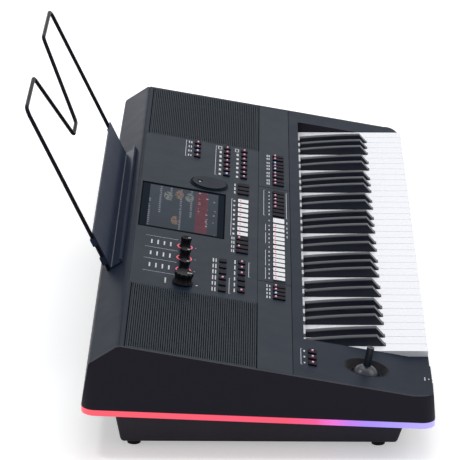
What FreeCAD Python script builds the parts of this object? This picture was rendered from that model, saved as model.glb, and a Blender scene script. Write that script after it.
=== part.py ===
import FreeCAD, Part
import math
import os

# A 61-key arranger keyboard with a plug-in music stand, in millimetres, +Z up.
# X runs to the player's right, the keys face -Y, and Z is zero under the rubber feet.
# X is zero at mid length, and Y is zero at the middle of the whole depth, stand included.

V = FreeCAD.Vector

# Body, seen from the end
white_pitch = 23.5
white_count = 36
left_block = 123.0
right_block = 49.0
body_depth = 414.0
front_lean = 2.8
land_height = 80.2
land_depth = 27.0
ridge_height = 141.2
ridge_set_in = 44.0
shoulder_height = 119.0
shoulder_set_in = 10.0
waist_front = 45.9
waist_rear = 61.6
corner_radius = 17.0
ridge_round = 9.0
shoulder_round = 5.0
nose_radius = 30.0
wall = 3.5
overrun = 6.0
block_step = 1.5
block_step_width = 30.0

# Clearances
panel_gap = 0.3
seam_gap = 0.8
button_gap = 0.35
running_gap = 0.05
seat_gap = 0.2

# Bottom case and its feet
bar_height = 7.2
bar_thickness = 5.0
tray_floor = 3.0
tub_bottom = 8.0
tub_top_inset = 20.0
tub_bottom_inset = 30.0
tub_front_top = 32.5
tub_front_bottom = 43.5
tub_rear_top = 37.0
tub_rear_bottom = 45.0
tub_round = 5.0
foot_radius = 8.0
foot_top_radius = 9.5
foot_inset = 49.0
foot_front = 65.0
foot_rear = 60.0
light_board_thickness = 1.6
light_board_end = 40.0

# Screws and their posts
screw_radius = 1.7
screw_head_radius = 3.4
screw_head_height = 1.9
screw_length = 14.0
post_radius = 5.0
key_post_count = 6
key_post_end = 60.0
rear_boss_count = 4
rear_boss_end = 70.0
rear_boss_set_in = 12.5
rear_boss_top = 104.0
front_boss_set_in = 9.0
front_boss_end = 24.0

# Window in the top of the case, control panel and grilles
rim_width = 5.0
ledge_width = 4.0
panel_thickness = 2.0
panel_front = 166.2
panel_lip = 4.5
grille_width = 209.0
grille_front_share = 0.2148
grille_lip = 7.4
grille_rim = 2.0
grille_slot_pitch = 2.6
grille_slot_width = 1.1
ridge_groove_width = 1.6
ridge_groove_depth = 1.0

# Panel board and the posts that carry it
board_depth = 10.0
board_thickness = 1.6
board_margin = 8.5
board_front_share = 0.0291
board_rear_share = 0.7617
board_notch_share = 0.4004
board_post_radius = 3.0
board_post_share = 0.1972
board_post_first = 236.0
board_post_pitch = 136.0
board_post_count = 5
upper_post_share = 0.5359
upper_post_left = 352.0
upper_post_right = 690.0

# Display
lens_width = 175.0
lens_front_share = 0.432
lens_thickness = 1.4
lens_sink = 0.5
module_margin = 4.0
module_thickness = 8.0

# Buttons
button_proud = 1.8
button_depth = 8.4
button_corner = 1.2
button_edge = 0.5
row_a_share = 0.0793
row_b_share = 0.3151
row_c_share = 0.433
row_d_share = 0.6387
lit_width = 11.0
lit_depth = 9.0
long_depth = 15.2
voice_first = 678.0
voice_pitch = 18.75
voice_count = 7
bank_first = 736.2
bank_pitch = 18.9
bank_count = 4
page_first = 611.8
page_pitch = 15.5
page_count = 3
mode_first = 384.8
mode_pitch = 15.7
mode_count = 4
mode_width = 11.0
part_first = 449.0
part_pitch = 18.3
part_count = 8
part_width = 13.0
part_depth = 14.0
style_first = 308.4
style_pitch = 15.6
style_step = 17.4
style_group_counts = (3, 4, 1, 3, 2)
style_width = 12.0
tall_style_place = 523.0
tall_style_width = 18.0
registration_first = 672.4
registration_pitch = 13.0
registration_step = 17.7
registration_group_counts = (2, 2, 3, 2)
registration_width = 9.5
memory_first = 547.0
memory_pitch = 14.9
memory_count = 7
memory_width = 11.0
sync_first = 242.2
sync_pitch = 12.9
sync_count = 4
sync_width = 9.5
left_upper_first = 237.5
left_upper_pitch = 20.4
left_lower_first = 245.0
left_lower_pitch = 20.0
left_count = 6
octave_first = 47.7
octave_pitch = 18.3
octave_count = 3
octave_row = 143.5
octave_depth = 10.0
octave_width = 12.0
octave_stem = 6.0

# Knobs, dial and their encoders
knob_row_share = 0.6764
knob_first = 286.0
knob_pitch = 42.0
knob_count = 3
knob_radius = 7.0
knob_height = 12.0
knob_lift = 0.8
knob_flute_radius = 1.2
knob_flutes = 10
ring_outer = 9.9
ring_inner = 8.5
ring_thickness = 1.2
ring_recess = 1.0
volume_place = 239.0
volume_base_radius = 13.2
volume_waist_radius = 11.8
volume_top_radius = 12.2
volume_base_height = 2.0
volume_height = 14.0
dial_place = 628.0
dial_behind_row = 46.0
dial_radius = 23.0
dial_height = 1.8
dial_edge = 0.5
dial_dimple_radius = 11.0
dial_dimple_depth = 1.0
dial_dimple_offset = 12.5
dial_ring_width = 2.6
dial_ring_height = 1.4
spindle_radius = 3.0
spindle_reach = 8.6
bush_radius = 4.2
encoder_size = 13.0
encoder_height = 6.2

# Joystick
stick_place = 65.0
stick_row = 79.5
dish_radius = 27.0
dish_rim = 1.2
dish_floor_radius = 19.4
dish_hole_radius = 17.2
dish_depth = 7.0
dish_floor = 1.8
ball_radius = 18.0
ball_sink = 14.6
shaft_radius = 5.0
shaft_top_radius = 4.4
shaft_top = 26.0
shaft_cup = 1.2
stem_radius = 3.0
stem_length = 23.2
yoke_arm_inner = 19.2
yoke_arm_thickness = 2.4
yoke_arm_width = 6.0
yoke_drop = 19.0
yoke_floor = 2.4
yoke_slot_half = 11.5
pin_radius = 2.0
pin_length = 3.2
lug_width = 10.0
lug_drop = 4.5

# Keys
key_gap = 0.8
key_front = 4.0
key_top = 87.2
key_thickness = 16.0
key_skin = 2.6
head_length = 50.0
fallboard_from_front = 153.0
fallboard_bottom = 89.0
key_lip_radius = 1.4
black_width = 10.6
black_top_width = 8.6
black_tip = 55.0
black_rear = 150.2
black_slope_run = 10.0
black_front_rise = 11.6
black_middle_rise = 9.8
black_rear_rise = 6.4
black_edge_radius = 1.0
pivot_from_front = 203.0
pivot_height = 78.0
rod_radius = 2.0
tail_end = 4.4
tail_relief = 1.3
tail_relief_front = 156.0
octave_whites = 7
octave_count_whole = 5
rib_front = 98.0
rib_rear = 122.0
cavity_rear = 178.0

# Key chassis with its contact board, rubber strip, springs and felt
frame_plate_top = 58.0
frame_plate = 2.0
frame_front = 16.0
frame_rear_wall = 2.5
frame_wall_top = 84.0
frame_rear_gap = 0.8
frame_end_gap = 1.0
frame_lug_thickness = 2.4
frame_lug_reach = 6.0
contact_front = 92.0
contact_rear = 130.0
contact_thickness = 1.6
strip_base = 1.0
strip_margin = 10.0
dome_place = 110.0
dome_radius = 4.6
dome_top_radius = 3.2
dome_height = 5.6
spring_front = 158.0
spring_spine = 12.0
spring_tip = 186.0
spring_thickness = 0.6
spring_width = 5.0
spring_tip_gap = 1.4
felt_front = 24.0
felt_depth = 16.0
felt_thickness = 2.2

# Front rail under the key lips
rail_front = 3.0
rail_thickness = 3.5
rail_foot_front = 0.8
rail_foot = 2.5
rail_top = 59.5

# Loudspeakers
speaker_from_end = 111.0
speaker_flange_gap = 2.6
speaker_flange_thickness = 2.0
speaker_mouth_share = 0.4106
speaker_neck_share = 0.1854
speaker_basket_depth = 30.0
speaker_magnet_share = 0.2384
speaker_magnet_depth = 46.0
speaker_skin = 2.0
speaker_cap_share = 0.0927
speaker_cap_rise = 6.0

# Main board
main_left = 330.0
main_right = 690.0
main_front_gap = 32.0
main_rear_set_in = 69.0
main_lift = 6.0
main_post_set_in = 10.0

# Jacks, ports and power button in the rear wall, phones jack in front
jack_bore_radius = 3.25
jack_barrel_radius = 4.6
jack_nut_radius = 6.4
jack_nut_height = 1.2
jack_depth = 18.0
jack_bore_depth = 16.0
jack_height = 91.0
jack_first = 480.0
jack_pitch = 34.0
jack_count = 5
phones_place = 62.0
phones_height = 68.0
port_height = 88.0
usb_places = (728.0, 764.0)
usb_width = 15.0
usb_height = 8.0
usb_skin = 1.1
usb_depth = 12.0
usb_tongue = 2.0
inlet_place = 836.0
inlet_radius = 5.4
inlet_bore_radius = 3.1
inlet_pin_radius = 1.1
inlet_depth = 13.0
port_proud = 0.6
power_place = 884.0
power_width = 15.0
power_depth = 11.0
power_proud = 3.4
power_reach = 14.0
power_corner = 1.5

# Music stand
stand_set_in = 20.0
stand_tilt = 25.2
stand_half_width = 221.0
stand_centre = 6.5
stand_height = 231.0
wire_radius = 2.5
wire_bend = 11.0
wire_shoulder = 90.0
wire_dip = 26.0
wire_dip_height = 125.0
leg_depth = 20.0
socket_radius = 6.0
socket_floor = 3.0
socket_gap = 0.1
plate_height = 53.0
plate_thickness = 2.0
plate_overhang = 4.0
ledge_depth = 16.0
ledge_lip = 4.0
ledge_gap = 0.4
clip_height = 10.0
clip_lower = 9.0
clip_upper = 36.0
clip_half_width = 3.7
clip_depth = 3.7

# Derived lengths and angles
ridge_from_front = body_depth - ridge_set_in
stand_from_front = body_depth - stand_set_in
main_front = pivot_from_front + main_front_gap
main_rear = body_depth - main_rear_set_in
panel_rear = ridge_from_front - panel_lip
panel_depth = panel_rear - panel_front
grille_front = panel_front + panel_depth * grille_front_share
grille_rear = ridge_from_front - grille_lip
lens_front = panel_front + panel_depth * lens_front_share
lens_rear = grille_rear
row_a = panel_front + panel_depth * row_a_share
row_b = panel_front + panel_depth * row_b_share
row_c = panel_front + panel_depth * row_c_share
row_d = panel_front + panel_depth * row_d_share
knob_row = panel_front + panel_depth * knob_row_share
dial_row = row_b + dial_behind_row
board_front = panel_front + panel_depth * board_front_share
board_rear = panel_front + panel_depth * board_rear_share
board_notch_front = panel_front + panel_depth * board_notch_share
board_post_row = panel_front + panel_depth * board_post_share
upper_post_row = panel_front + panel_depth * upper_post_share
speaker_flange = grille_rear - grille_front - speaker_flange_gap
speaker_mouth = speaker_flange * speaker_mouth_share
speaker_neck = speaker_flange * speaker_neck_share
speaker_magnet_radius = speaker_flange * speaker_magnet_share
speaker_cap_radius = speaker_flange * speaker_cap_share
keys_width = white_pitch * white_count
length = left_block + keys_width + right_block
tilt = math.radians(stand_tilt)
overall_depth = stand_from_front + stand_height * math.sin(tilt) + wire_radius
slope = math.atan2(ridge_height - land_height, ridge_from_front - land_depth)
front_angle = math.atan2(front_lean, land_height - waist_front)
rear_lean = math.atan2(shoulder_set_in, shoulder_height - waist_rear)
chamfer_run = body_depth - shoulder_set_in - ridge_from_front
chamfer_angle = math.atan2(ridge_height - shoulder_height, chamfer_run)
panel_left = rim_width + grille_width
panel_right = length - panel_left
key_bottom = key_top - key_thickness
bar_reach = corner_radius + bar_thickness
small_angle = math.radians(1)
X_AXIS = V(1, 0, 0)
Z_AXIS = V(0, 0, 1)
ORIGIN = V(0, 0, 0)


def x_at(from_left):
    return from_left - length / 2


def y_at(from_front):
    return from_front - overall_depth / 2


def panel_height(from_front):
    return land_height + (from_front - land_depth) * math.tan(slope)


def waist(from_front):
    return waist_front + (waist_rear - waist_front) * from_front / body_depth


def chamfer_height(from_front):
    return ridge_height - (from_front - ridge_from_front) * math.tan(chamfer_angle)


def rear_from_front(height):
    return body_depth - (height - waist_rear) * math.tan(rear_lean)


def row(first, pitch, count):
    return [first + pitch * index for index in range(count)]


def grouped_row(first, pitch, step, groups):
    places = []
    place = first
    for count in groups:
        places += row(place, pitch, count)
        place = places[-1] + step
    return places


# Shape helpers

def block(left, right, front, rear, low, high):
    """A box between two places along X, two from the front and two heights."""
    return Part.makeBox(right - left, rear - front, high - low, V(x_at(left), y_at(front), low))


def prism_along_x(points, left, right):
    """Points are (from front, height)."""
    corners = [V(x_at(left), y_at(from_front), height) for from_front, height in points]
    face = Part.Face(Part.makePolygon(corners + corners[:1]))
    return face.extrude(V(right - left, 0, 0))


def prism_along_y(points, front, rear):
    """Points are (from left, height)."""
    corners = [V(x_at(from_left), y_at(front), height) for from_left, height in points]
    face = Part.Face(Part.makePolygon(corners + corners[:1]))
    return face.extrude(V(0, rear - front, 0))


def upright_edges(shape):
    def is_upright(edge):
        return edge.tangentAt(edge.FirstParameter).isParallel(Z_AXIS, small_angle)

    return [edge for edge in shape.Edges if is_upright(edge)]


def edges_on_top(shape):
    top = shape.BoundBox.ZMax
    return [edge for edge in shape.Edges if top - edge.BoundBox.ZMin < seat_gap]


def edges_along_x(shape, height):
    """The straight edges along X at one height."""
    def is_level(edge):
        box = edge.BoundBox
        return max(abs(box.ZMin - height), box.ZLength, box.YLength) < seat_gap

    return [edge for edge in shape.Edges if is_level(edge)]


def edges_reaching(shape, low):
    """The edges that start from the lowest face."""
    return [edge for edge in shape.Edges if edge.BoundBox.ZMin - low < seat_gap]


def centred_box(width, depth, low, high):
    """A box about the Z axis."""
    return Part.makeBox(width, depth, high - low, V(-width / 2, -depth / 2, low))


def cylinder(radius, low, high):
    """A cylinder about the Z axis."""
    return Part.makeCylinder(radius, high - low, V(0, 0, low))


def rounded_box(width, depth, low, high, corner, edge):
    """A box about the Z axis with rounded upright corners and a rounded top edge."""
    box = centred_box(width, depth, low, high)
    box = box.makeFillet(corner, upright_edges(box))
    return box.makeFillet(edge, edges_on_top(box))


def revolved(points):
    """Points are (radius, height), turned about Z."""
    corners = [V(radius, 0, height) for radius, height in points]
    face = Part.Face(Part.makePolygon(corners + corners[:1]))
    return face.revolve(ORIGIN, Z_AXIS, 360)


def tube(outer, inner, low, high):
    return cylinder(outer, low, high).cut(cylinder(inner, low, high))


def placed(shape, base, angle):
    """Turns a shape about X by an angle in radians, then moves its origin to base."""
    moved = shape.copy()
    turn = FreeCAD.Rotation(X_AXIS, math.degrees(angle))
    moved.Placement = FreeCAD.Placement(base, turn).multiply(shape.Placement)
    return moved


def on_panel(shape, from_left, from_front):
    """Stands a shape on the sloped panel, its Z along the panel's normal."""
    return placed(shape, V(x_at(from_left), y_at(from_front), panel_height(from_front)), slope)


def on_rear(shape, from_left, height):
    """Stands a shape on the rear wall, its Z pointing out."""
    base = V(x_at(from_left), y_at(rear_from_front(height)), height)
    return placed(shape, base, rear_lean - math.pi / 2)


def on_front(shape, from_left, height):
    """Stands a shape on the front wall, its Z pointing at the player."""
    base = V(x_at(from_left), y_at((height - waist_front) * math.tan(front_angle)), height)
    return placed(shape, base, math.pi / 2 - front_angle)


def on_stand(shape):
    """Takes a shape from the stand's own frame, Z up along its legs, to the case."""
    base = V(stand_centre, y_at(stand_from_front), chamfer_height(stand_from_front))
    return placed(shape, base, -tilt)


def panel_slab(left, right, front, rear, low, high):
    """A slab along the panel, between two depths measured square to it."""
    slab = Part.makeBox(right - left, (rear - front) / math.cos(slope), high - low, V(0, 0, low))
    return on_panel(slab, left, front)


def inset_outline(points, insets):
    """Moves each edge of a clockwise outline inwards by its own distance."""
    lines = []
    for index, inset in enumerate(insets):
        start = points[index]
        end = points[(index + 1) % len(points)]
        run = (end[0] - start[0], end[1] - start[1])
        size = math.hypot(run[0], run[1])
        normal = (run[1] / size, -run[0] / size)
        lines.append((normal, normal[0] * start[0] + normal[1] * start[1] + inset))
    corners = []
    for index, (normal, offset) in enumerate(lines):
        before, offset_before = lines[index - 1]
        det = before[0] * normal[1] - before[1] * normal[0]
        across = (offset_before * normal[1] - offset * before[1]) / det
        up = (before[0] * offset - normal[0] * offset_before) / det
        corners.append((across, up))
    return corners


def plan_prism(inset):
    """The body's plan with its round corners, from the ground to above the ridge."""
    box = block(inset, length - inset, inset, body_depth - inset, 0, ridge_height + overrun)
    return box.makeFillet(corner_radius - inset, upright_edges(box))


# Casing

body_outline = [
    (0, waist_front),
    (front_lean, land_height),
    (land_depth, land_height),
    (ridge_from_front, ridge_height),
    (body_depth - shoulder_set_in, shoulder_height),
    (body_depth, waist_rear),
]


def right_nose(inset):
    """What the right block loses in front, where its top rolls down; inset draws the roll in."""
    left = length - right_block - wall
    low = land_height - nose_radius
    base = V(x_at(left), y_at(land_depth), low)
    roll = Part.makeCylinder(nose_radius - inset, right_block + wall + overrun, base, X_AXIS)
    return block(left, length, -overrun, land_depth, low, ridge_height).cut(roll)


def outer_body():
    body = prism_along_x(body_outline, 0, length).common(plan_prism(0))
    body = body.makeFillet(ridge_round, edges_along_x(body, ridge_height))
    body = body.makeFillet(shoulder_round, edges_along_x(body, shoulder_height))
    return body.cut(right_nose(0))


body_outer = outer_body()


def case_cavity():
    """The room inside the top case, open below, less the walls beside and behind the keys."""
    inner = inset_outline(body_outline, [wall, wall, wall, wall, wall, -overrun])
    room = prism_along_x(inner, wall, length - wall).common(plan_prism(wall)).cut(right_nose(wall))
    key_right = length - right_block
    behind = fallboard_from_front + wall
    room = room.cut(block(left_block - wall, left_block, 0, behind, 0, ridge_height))
    room = room.cut(block(key_right, key_right + wall, 0, behind, 0, ridge_height))
    fallboard = block(left_block, key_right, fallboard_from_front, behind, fallboard_bottom, ridge_height)
    return room.cut(fallboard)


def window_cuts():
    """The stepped window that the control panel and the grilles lie in."""
    areas = [
        (rim_width, length - rim_width, panel_front, grille_front),
        (panel_left, panel_right, panel_front, panel_rear),
        (rim_width, panel_left, grille_front, grille_rear),
        (panel_right, length - rim_width, grille_front, grille_rear),
    ]
    cuts = [panel_slab(*area, -panel_thickness, overrun) for area in areas]
    for left, right, front, rear in areas[1:]:
        inside = (left + ledge_width, right - ledge_width, front + ledge_width, rear - ledge_width)
        cuts.append(panel_slab(*inside, -wall - overrun, overrun))
    return cuts


def ridge_groove():
    cut = Part.makeBox(length, ridge_groove_width, ridge_groove_depth + overrun, V(0, 0, -ridge_groove_depth))
    return on_panel(cut, 0, (panel_rear + ridge_from_front) / 2)


def stand_sockets(low, high, radius):
    """One cylinder along each leg of the music stand."""
    legs = (-stand_half_width, stand_half_width)
    return [on_stand(Part.makeCylinder(radius, high - low, V(leg, 0, low))) for leg in legs]


def rear_boss_places():
    pitch = (length - rear_boss_end * 2) / (rear_boss_count - 1)
    return [(place, body_depth - rear_boss_set_in) for place in row(rear_boss_end, pitch, rear_boss_count)]


def front_boss_places():
    places = (front_boss_end, left_block - front_boss_end, length - front_boss_end)
    return [(place, front_boss_set_in) for place in places]


def screw_bosses():
    """Posts that run up from the tray into the top case, with blind holes for the screws."""
    bosses = []
    for tops, places in ((rear_boss_top, rear_boss_places()), (land_height, front_boss_places())):
        for place, from_front in places:
            low = waist(from_front) - bar_height + tray_floor + seat_gap
            base = V(x_at(place), y_at(from_front), low)
            boss = Part.makeCylinder(post_radius, tops - low, base).common(body_outer)
            bosses.append(boss.cut(Part.makeCylinder(screw_radius + running_gap, screw_length, base)))
    return bosses


def top_case():
    key_right = length - right_block
    shell = body_outer.cut(case_cavity())
    shell = shell.cut(block(left_block, key_right, -overrun, fallboard_from_front, 0, ridge_height))
    sockets = stand_sockets(-leg_depth - socket_floor, overrun, socket_radius)
    shell = shell.fuse([socket.common(body_outer) for socket in sockets])
    shell = shell.fuse(screw_bosses()).removeSplitter()
    inner = left_block - block_step_width
    step = block(inner, left_block, -overrun, front_lean + block_step, 0, ridge_height)
    cuts = window_cuts() + stand_sockets(-leg_depth, overrun, wire_radius + socket_gap)
    cuts.append(ridge_groove())
    cuts.append(step.common(prism_along_x([
        (0, waist_front),
        (front_lean, land_height + overrun),
        (front_lean + block_step, land_height + overrun),
        (block_step, waist_front),
    ], 0, length)))
    dish_hole = cylinder(dish_radius + panel_gap, -wall - overrun, overrun)
    cuts.append(on_panel(dish_hole, stick_place, stick_row))
    cuts += [bank_hole(place, octave_row, octave_width, octave_depth, wall) for place in octave_places]
    cuts += rear_holes()
    return in_three_mouldings(shell.cut(cuts))


def in_three_mouldings(shell):
    """The main shell behind the keys, and the two end blocks that meet it beside them."""
    key_right = length - right_block
    high = ridge_height + overrun
    zones = [
        block(-overrun, length + overrun, fallboard_from_front, body_depth + overrun, 0, high),
        block(-overrun, left_block, -overrun, fallboard_from_front, 0, high),
        block(key_right, length + overrun, -overrun, fallboard_from_front, 0, high),
    ]
    return Part.makeCompound([solid for zone in zones for solid in shell.common(zone).Solids])


def rear_holes():
    reach = wall + overrun
    jack = cylinder(jack_barrel_radius + panel_gap, -reach, overrun)
    inlet = cylinder(inlet_radius + panel_gap, -reach, overrun)
    usb = centred_box(usb_width + panel_gap * 2, usb_height + panel_gap * 2, -reach, overrun)
    power = centred_box(power_width + button_gap * 2, power_depth + button_gap * 2, -reach, overrun)
    holes = [on_rear(jack, place, jack_height) for place in row(jack_first, jack_pitch, jack_count)]
    holes += [on_rear(usb, place, port_height) for place in usb_places]
    holes.append(on_rear(inlet, inlet_place, port_height))
    holes.append(on_rear(power, power_place, port_height))
    holes.append(on_front(jack, phones_place, phones_height))
    return holes


def tray_layer(low, high):
    """The slanted layer between two heights above the tray's underside."""
    front = waist(0) - bar_height
    rear = waist(body_depth) - bar_height
    points = [(0, front + low), (0, front + high), (body_depth, rear + high), (body_depth, rear + low)]
    return prism_along_x(points, 0, length)


def tub(skin):
    """The tapered tub under the tray; skin draws every wall in."""
    top = waist_rear
    side = [
        (tub_front_bottom, tub_bottom),
        (tub_front_top, waist(tub_front_top) - bar_height + tray_floor),
        (body_depth - tub_rear_top, waist(body_depth - tub_rear_top) - bar_height + tray_floor),
        (body_depth - tub_rear_bottom, tub_bottom),
    ]
    ends = [
        (tub_bottom_inset, tub_bottom),
        (tub_top_inset, top),
        (length - tub_top_inset, top),
        (length - tub_bottom_inset, tub_bottom),
    ]
    lid = -overrun if skin else 0
    side = inset_outline(side, [skin, lid, skin, skin])
    ends = inset_outline(ends, [skin, lid, skin, skin])
    return prism_along_x(side, 0, length).common(prism_along_y(ends, 0, body_depth))


def bar_zone(thickness):
    """The strip that follows each end and its round corners, on both ends."""
    strip = plan_prism(0).cut(plan_prism(thickness))
    ends = block(0, bar_reach, 0, body_depth, 0, ridge_height)
    return [strip.common(ends), strip.common(ends.mirror(ORIGIN, X_AXIS))]


def key_post_places():
    pitch = (keys_width - key_post_end * 2) / (key_post_count - 1)
    from_front = pivot_from_front
    return [(place, from_front) for place in row(left_block + key_post_end, pitch, key_post_count)]


def main_post_places():
    sides = (main_left + main_post_set_in, main_right - main_post_set_in)
    ranks = (main_front + main_post_set_in, main_rear - main_post_set_in)
    return [(side, rank) for side in sides for rank in ranks]


def bottom_case():
    floor = tray_layer(0, tray_floor).common(plan_prism(0))
    rim = tray_layer(0, bar_height - seat_gap).common(plan_prism(0).cut(plan_prism(wall)))
    outer_tub = tub(0)
    outer_tub = outer_tub.makeFillet(tub_round, edges_reaching(outer_tub, tub_bottom))
    case = floor.fuse([rim, outer_tub]).cut(tub(wall))
    case = case.cut(bar_zone(bar_thickness + seat_gap))
    tub_floor = tub_bottom + wall
    posts = []
    for place, from_front in key_post_places():
        height = frame_plate_top - frame_plate - tub_floor
        posts.append(Part.makeCylinder(post_radius, height, V(x_at(place), y_at(from_front), tub_floor)))
    for place, from_front in main_post_places():
        posts.append(Part.makeCylinder(post_radius, main_lift, V(x_at(place), y_at(from_front), tub_floor)))
    case = case.fuse(posts).removeSplitter()
    holes = []
    for place, from_front in key_post_places():
        base = V(x_at(place), y_at(from_front), tub_bottom)
        holes.append(Part.makeCylinder(screw_radius + running_gap, screw_length, base))
    for place, from_front in rear_boss_places() + front_boss_places():
        low = waist(from_front) - bar_height - overrun
        base = V(x_at(place), y_at(from_front), low)
        holes.append(Part.makeCylinder(screw_radius + running_gap, tray_floor + overrun * 2, base))
    return case.cut(holes)


def screw(place, from_front, seat):
    """A pan-head screw driven up from below, its head against the seat."""
    base = V(x_at(place), y_at(from_front), seat - screw_head_height)
    head = Part.makeCylinder(screw_head_radius, screw_head_height, base)
    shank = Part.makeCylinder(screw_radius, screw_head_height + screw_length - seat_gap, base)
    return head.fuse(shank).removeSplitter()


def case_screws():
    screws = [screw(place, from_front, tub_bottom) for place, from_front in key_post_places()]
    for place, from_front in rear_boss_places() + front_boss_places():
        seat = waist(from_front - screw_head_radius) - bar_height
        screws.append(screw(place, from_front, seat))
    return Part.makeCompound(screws)


def light_bar(side):
    layer = tray_layer(0, bar_height - seat_gap)
    return bar_zone(bar_thickness)[side].common(layer)


def light_boards():
    left = bar_thickness + seat_gap
    layer = tray_layer(tray_floor, bar_height - panel_gap)
    right = left + light_board_thickness
    strip = block(left, right, light_board_end, body_depth - light_board_end, 0, ridge_height).common(layer)
    return Part.makeCompound([strip, strip.mirror(ORIGIN, X_AXIS)])


def rubber_feet():
    feet = []
    for place in (foot_inset, length - foot_inset):
        for from_front in (foot_front, body_depth - foot_rear):
            base = V(x_at(place), y_at(from_front), 0)
            foot = Part.makeCone(foot_radius, foot_top_radius, tub_bottom, base)
            feet.append(foot)
    return Part.makeCompound(feet)


def front_rail():
    rear = rail_front + rail_thickness
    points = [
        (rail_foot_front, waist(rail_foot_front)),
        (rail_foot_front, waist(rail_foot_front) + rail_foot),
        (rail_front, waist(rail_foot_front) + rail_foot),
        (rail_front, rail_top),
        (rear, rail_top),
        (rear, waist(rear)),
    ]
    return prism_along_x(points, left_block + panel_gap, length - right_block - panel_gap)


# Panel, grilles and display

def bank_hole(place, from_front, width, depth, thickness):
    cut = centred_box(width + button_gap * 2, depth + button_gap * 2, -thickness - overrun, overrun)
    return on_panel(cut, place, from_front)


# Each bank is a list of (place, row, width, depth).
voice_places = row(voice_first, voice_pitch, voice_count)
octave_places = row(octave_first, octave_pitch, octave_count)
page_places = row(page_first, page_pitch, page_count)
mode_places = row(mode_first, mode_pitch, mode_count)
style_places = grouped_row(style_first, style_pitch, style_step, style_group_counts)
registration_places = grouped_row(registration_first, registration_pitch, registration_step,
                                  registration_group_counts)
bank_places = row(bank_first, bank_pitch, bank_count)
part_places = row(part_first, part_pitch, part_count)
memory_places = row(memory_first, memory_pitch, memory_count)
sync_places = row(sync_first, sync_pitch, sync_count)
left_upper_places = row(left_upper_first, left_upper_pitch, left_count)
left_lower_places = row(left_lower_first, left_lower_pitch, left_count)
banks = {
    "voice_buttons": [(place, row_b, lit_width, lit_depth) for place in voice_places]
    + [(place, row_c, lit_width, lit_depth) for place in voice_places],
    "bank_buttons": [(place, row_d, lit_width, lit_depth) for place in bank_places],
    "mode_buttons": [(place, row_b, mode_width, long_depth) for place in mode_places + page_places],
    "part_buttons": [(place, row_b, part_width, part_depth) for place in part_places],
    "style_buttons": [(place, row_a, style_width, long_depth) for place in style_places]
    + [(tall_style_place, row_a, tall_style_width, long_depth)],
    "registration_buttons": [(place, row_a, registration_width, long_depth) for place in registration_places],
    "memory_buttons": [(place, row_a, memory_width, long_depth) for place in memory_places],
    "sync_buttons": [(place, row_a, sync_width, long_depth) for place in sync_places],
    "left_panel_buttons": [(place, row_c, lit_width, lit_depth) for place in left_upper_places]
    + [(place, row_b, lit_width, lit_depth) for place in left_lower_places],
}


def button_bank(buttons):
    caps = []
    for place, from_front, width, depth in buttons:
        cap = rounded_box(width, depth, -button_depth, button_proud, button_corner, button_edge)
        caps.append(on_panel(cap, place, from_front))
    return Part.makeCompound(caps)


def octave_buttons():
    low = -wall - octave_stem
    cap = rounded_box(octave_width, octave_depth, low, button_proud, button_corner, button_edge)
    return Part.makeCompound([on_panel(cap, place, octave_row) for place in octave_places])


knob_places = row(knob_first, knob_pitch, knob_count)
encoder_places = [(place, knob_row) for place in knob_places + [volume_place]] + [(dial_place, dial_row)]
lens_left = length / 2 - lens_width / 2
lens_right = length / 2 + lens_width / 2


def board_post_places():
    places = [(place, board_post_row) for place in row(board_post_first, board_post_pitch, board_post_count)]
    return places + [(upper_post_left, upper_post_row), (upper_post_right, upper_post_row)]


def control_panel():
    front = panel_front + seam_gap
    strip = panel_slab(rim_width + panel_gap, length - rim_width - panel_gap, front, grille_front - panel_gap,
                       -panel_thickness, 0)
    middle = panel_slab(panel_left + panel_gap, panel_right - panel_gap, front, panel_rear - panel_gap,
                        -panel_thickness, 0)
    post = cylinder(board_post_radius, -board_depth, -panel_thickness)
    posts = [on_panel(post, place, from_front) for place, from_front in board_post_places()]
    dial_inner = dial_radius + panel_gap
    bezel = on_panel(tube(dial_inner + dial_ring_width, dial_inner, -panel_thickness, dial_ring_height),
                     dial_place, dial_row)
    panel = strip.fuse([middle, bezel] + posts).removeSplitter()
    cuts = [bank_hole(*button, panel_thickness) for buttons in banks.values() for button in buttons]
    cuts.append(panel_slab(lens_left - panel_gap, lens_right + panel_gap, lens_front - panel_gap,
                           lens_rear + panel_gap, -panel_thickness - overrun, overrun))
    bush = cylinder(bush_radius + panel_gap, -overrun, overrun)
    cuts += [on_panel(bush, place, from_front) for place, from_front in encoder_places]
    recess = tube(ring_outer + panel_gap, ring_inner - panel_gap, -ring_recess, overrun)
    cuts += [on_panel(recess, place, knob_row) for place in knob_places]
    return panel.cut(cuts)


def speaker_grille(side):
    left = rim_width + panel_gap
    right = panel_left - panel_gap
    plate = panel_slab(left, right, grille_front + panel_gap, grille_rear - seam_gap, -panel_thickness, 0)
    count = int((grille_rear - grille_front - grille_rim) / grille_slot_pitch)
    start = (grille_front + grille_rear - (count - 1) * grille_slot_pitch - grille_slot_width) / 2
    slots = []
    for front in row(start, grille_slot_pitch, count):
        slots.append(panel_slab(left + grille_rim, right - grille_rim, front, front + grille_slot_width,
                                -panel_thickness - overrun, overrun))
    grille = plate.cut(slots)
    return grille.mirror(ORIGIN, X_AXIS) if side else grille


def display_lens():
    return panel_slab(lens_left, lens_right, lens_front, lens_rear, -lens_sink - lens_thickness, -lens_sink)


def display_module():
    top = -lens_sink - lens_thickness - seat_gap
    return panel_slab(lens_left + module_margin, lens_right - module_margin, lens_front + module_margin,
                      lens_rear - module_margin - ledge_width, top - module_thickness, top)


def panel_board():
    left = panel_left + board_margin
    right = panel_right - board_margin
    low = -board_depth - board_thickness
    board = panel_slab(left, right, board_front, board_rear, low, -board_depth)
    notch = panel_slab(lens_left - board_margin, lens_right + board_margin, board_notch_front,
                       board_rear + overrun, low - overrun, overrun)
    return board.cut(notch)


# Knobs, dial and joystick

def spindle(high):
    return cylinder(spindle_radius, -spindle_reach, high)


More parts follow.
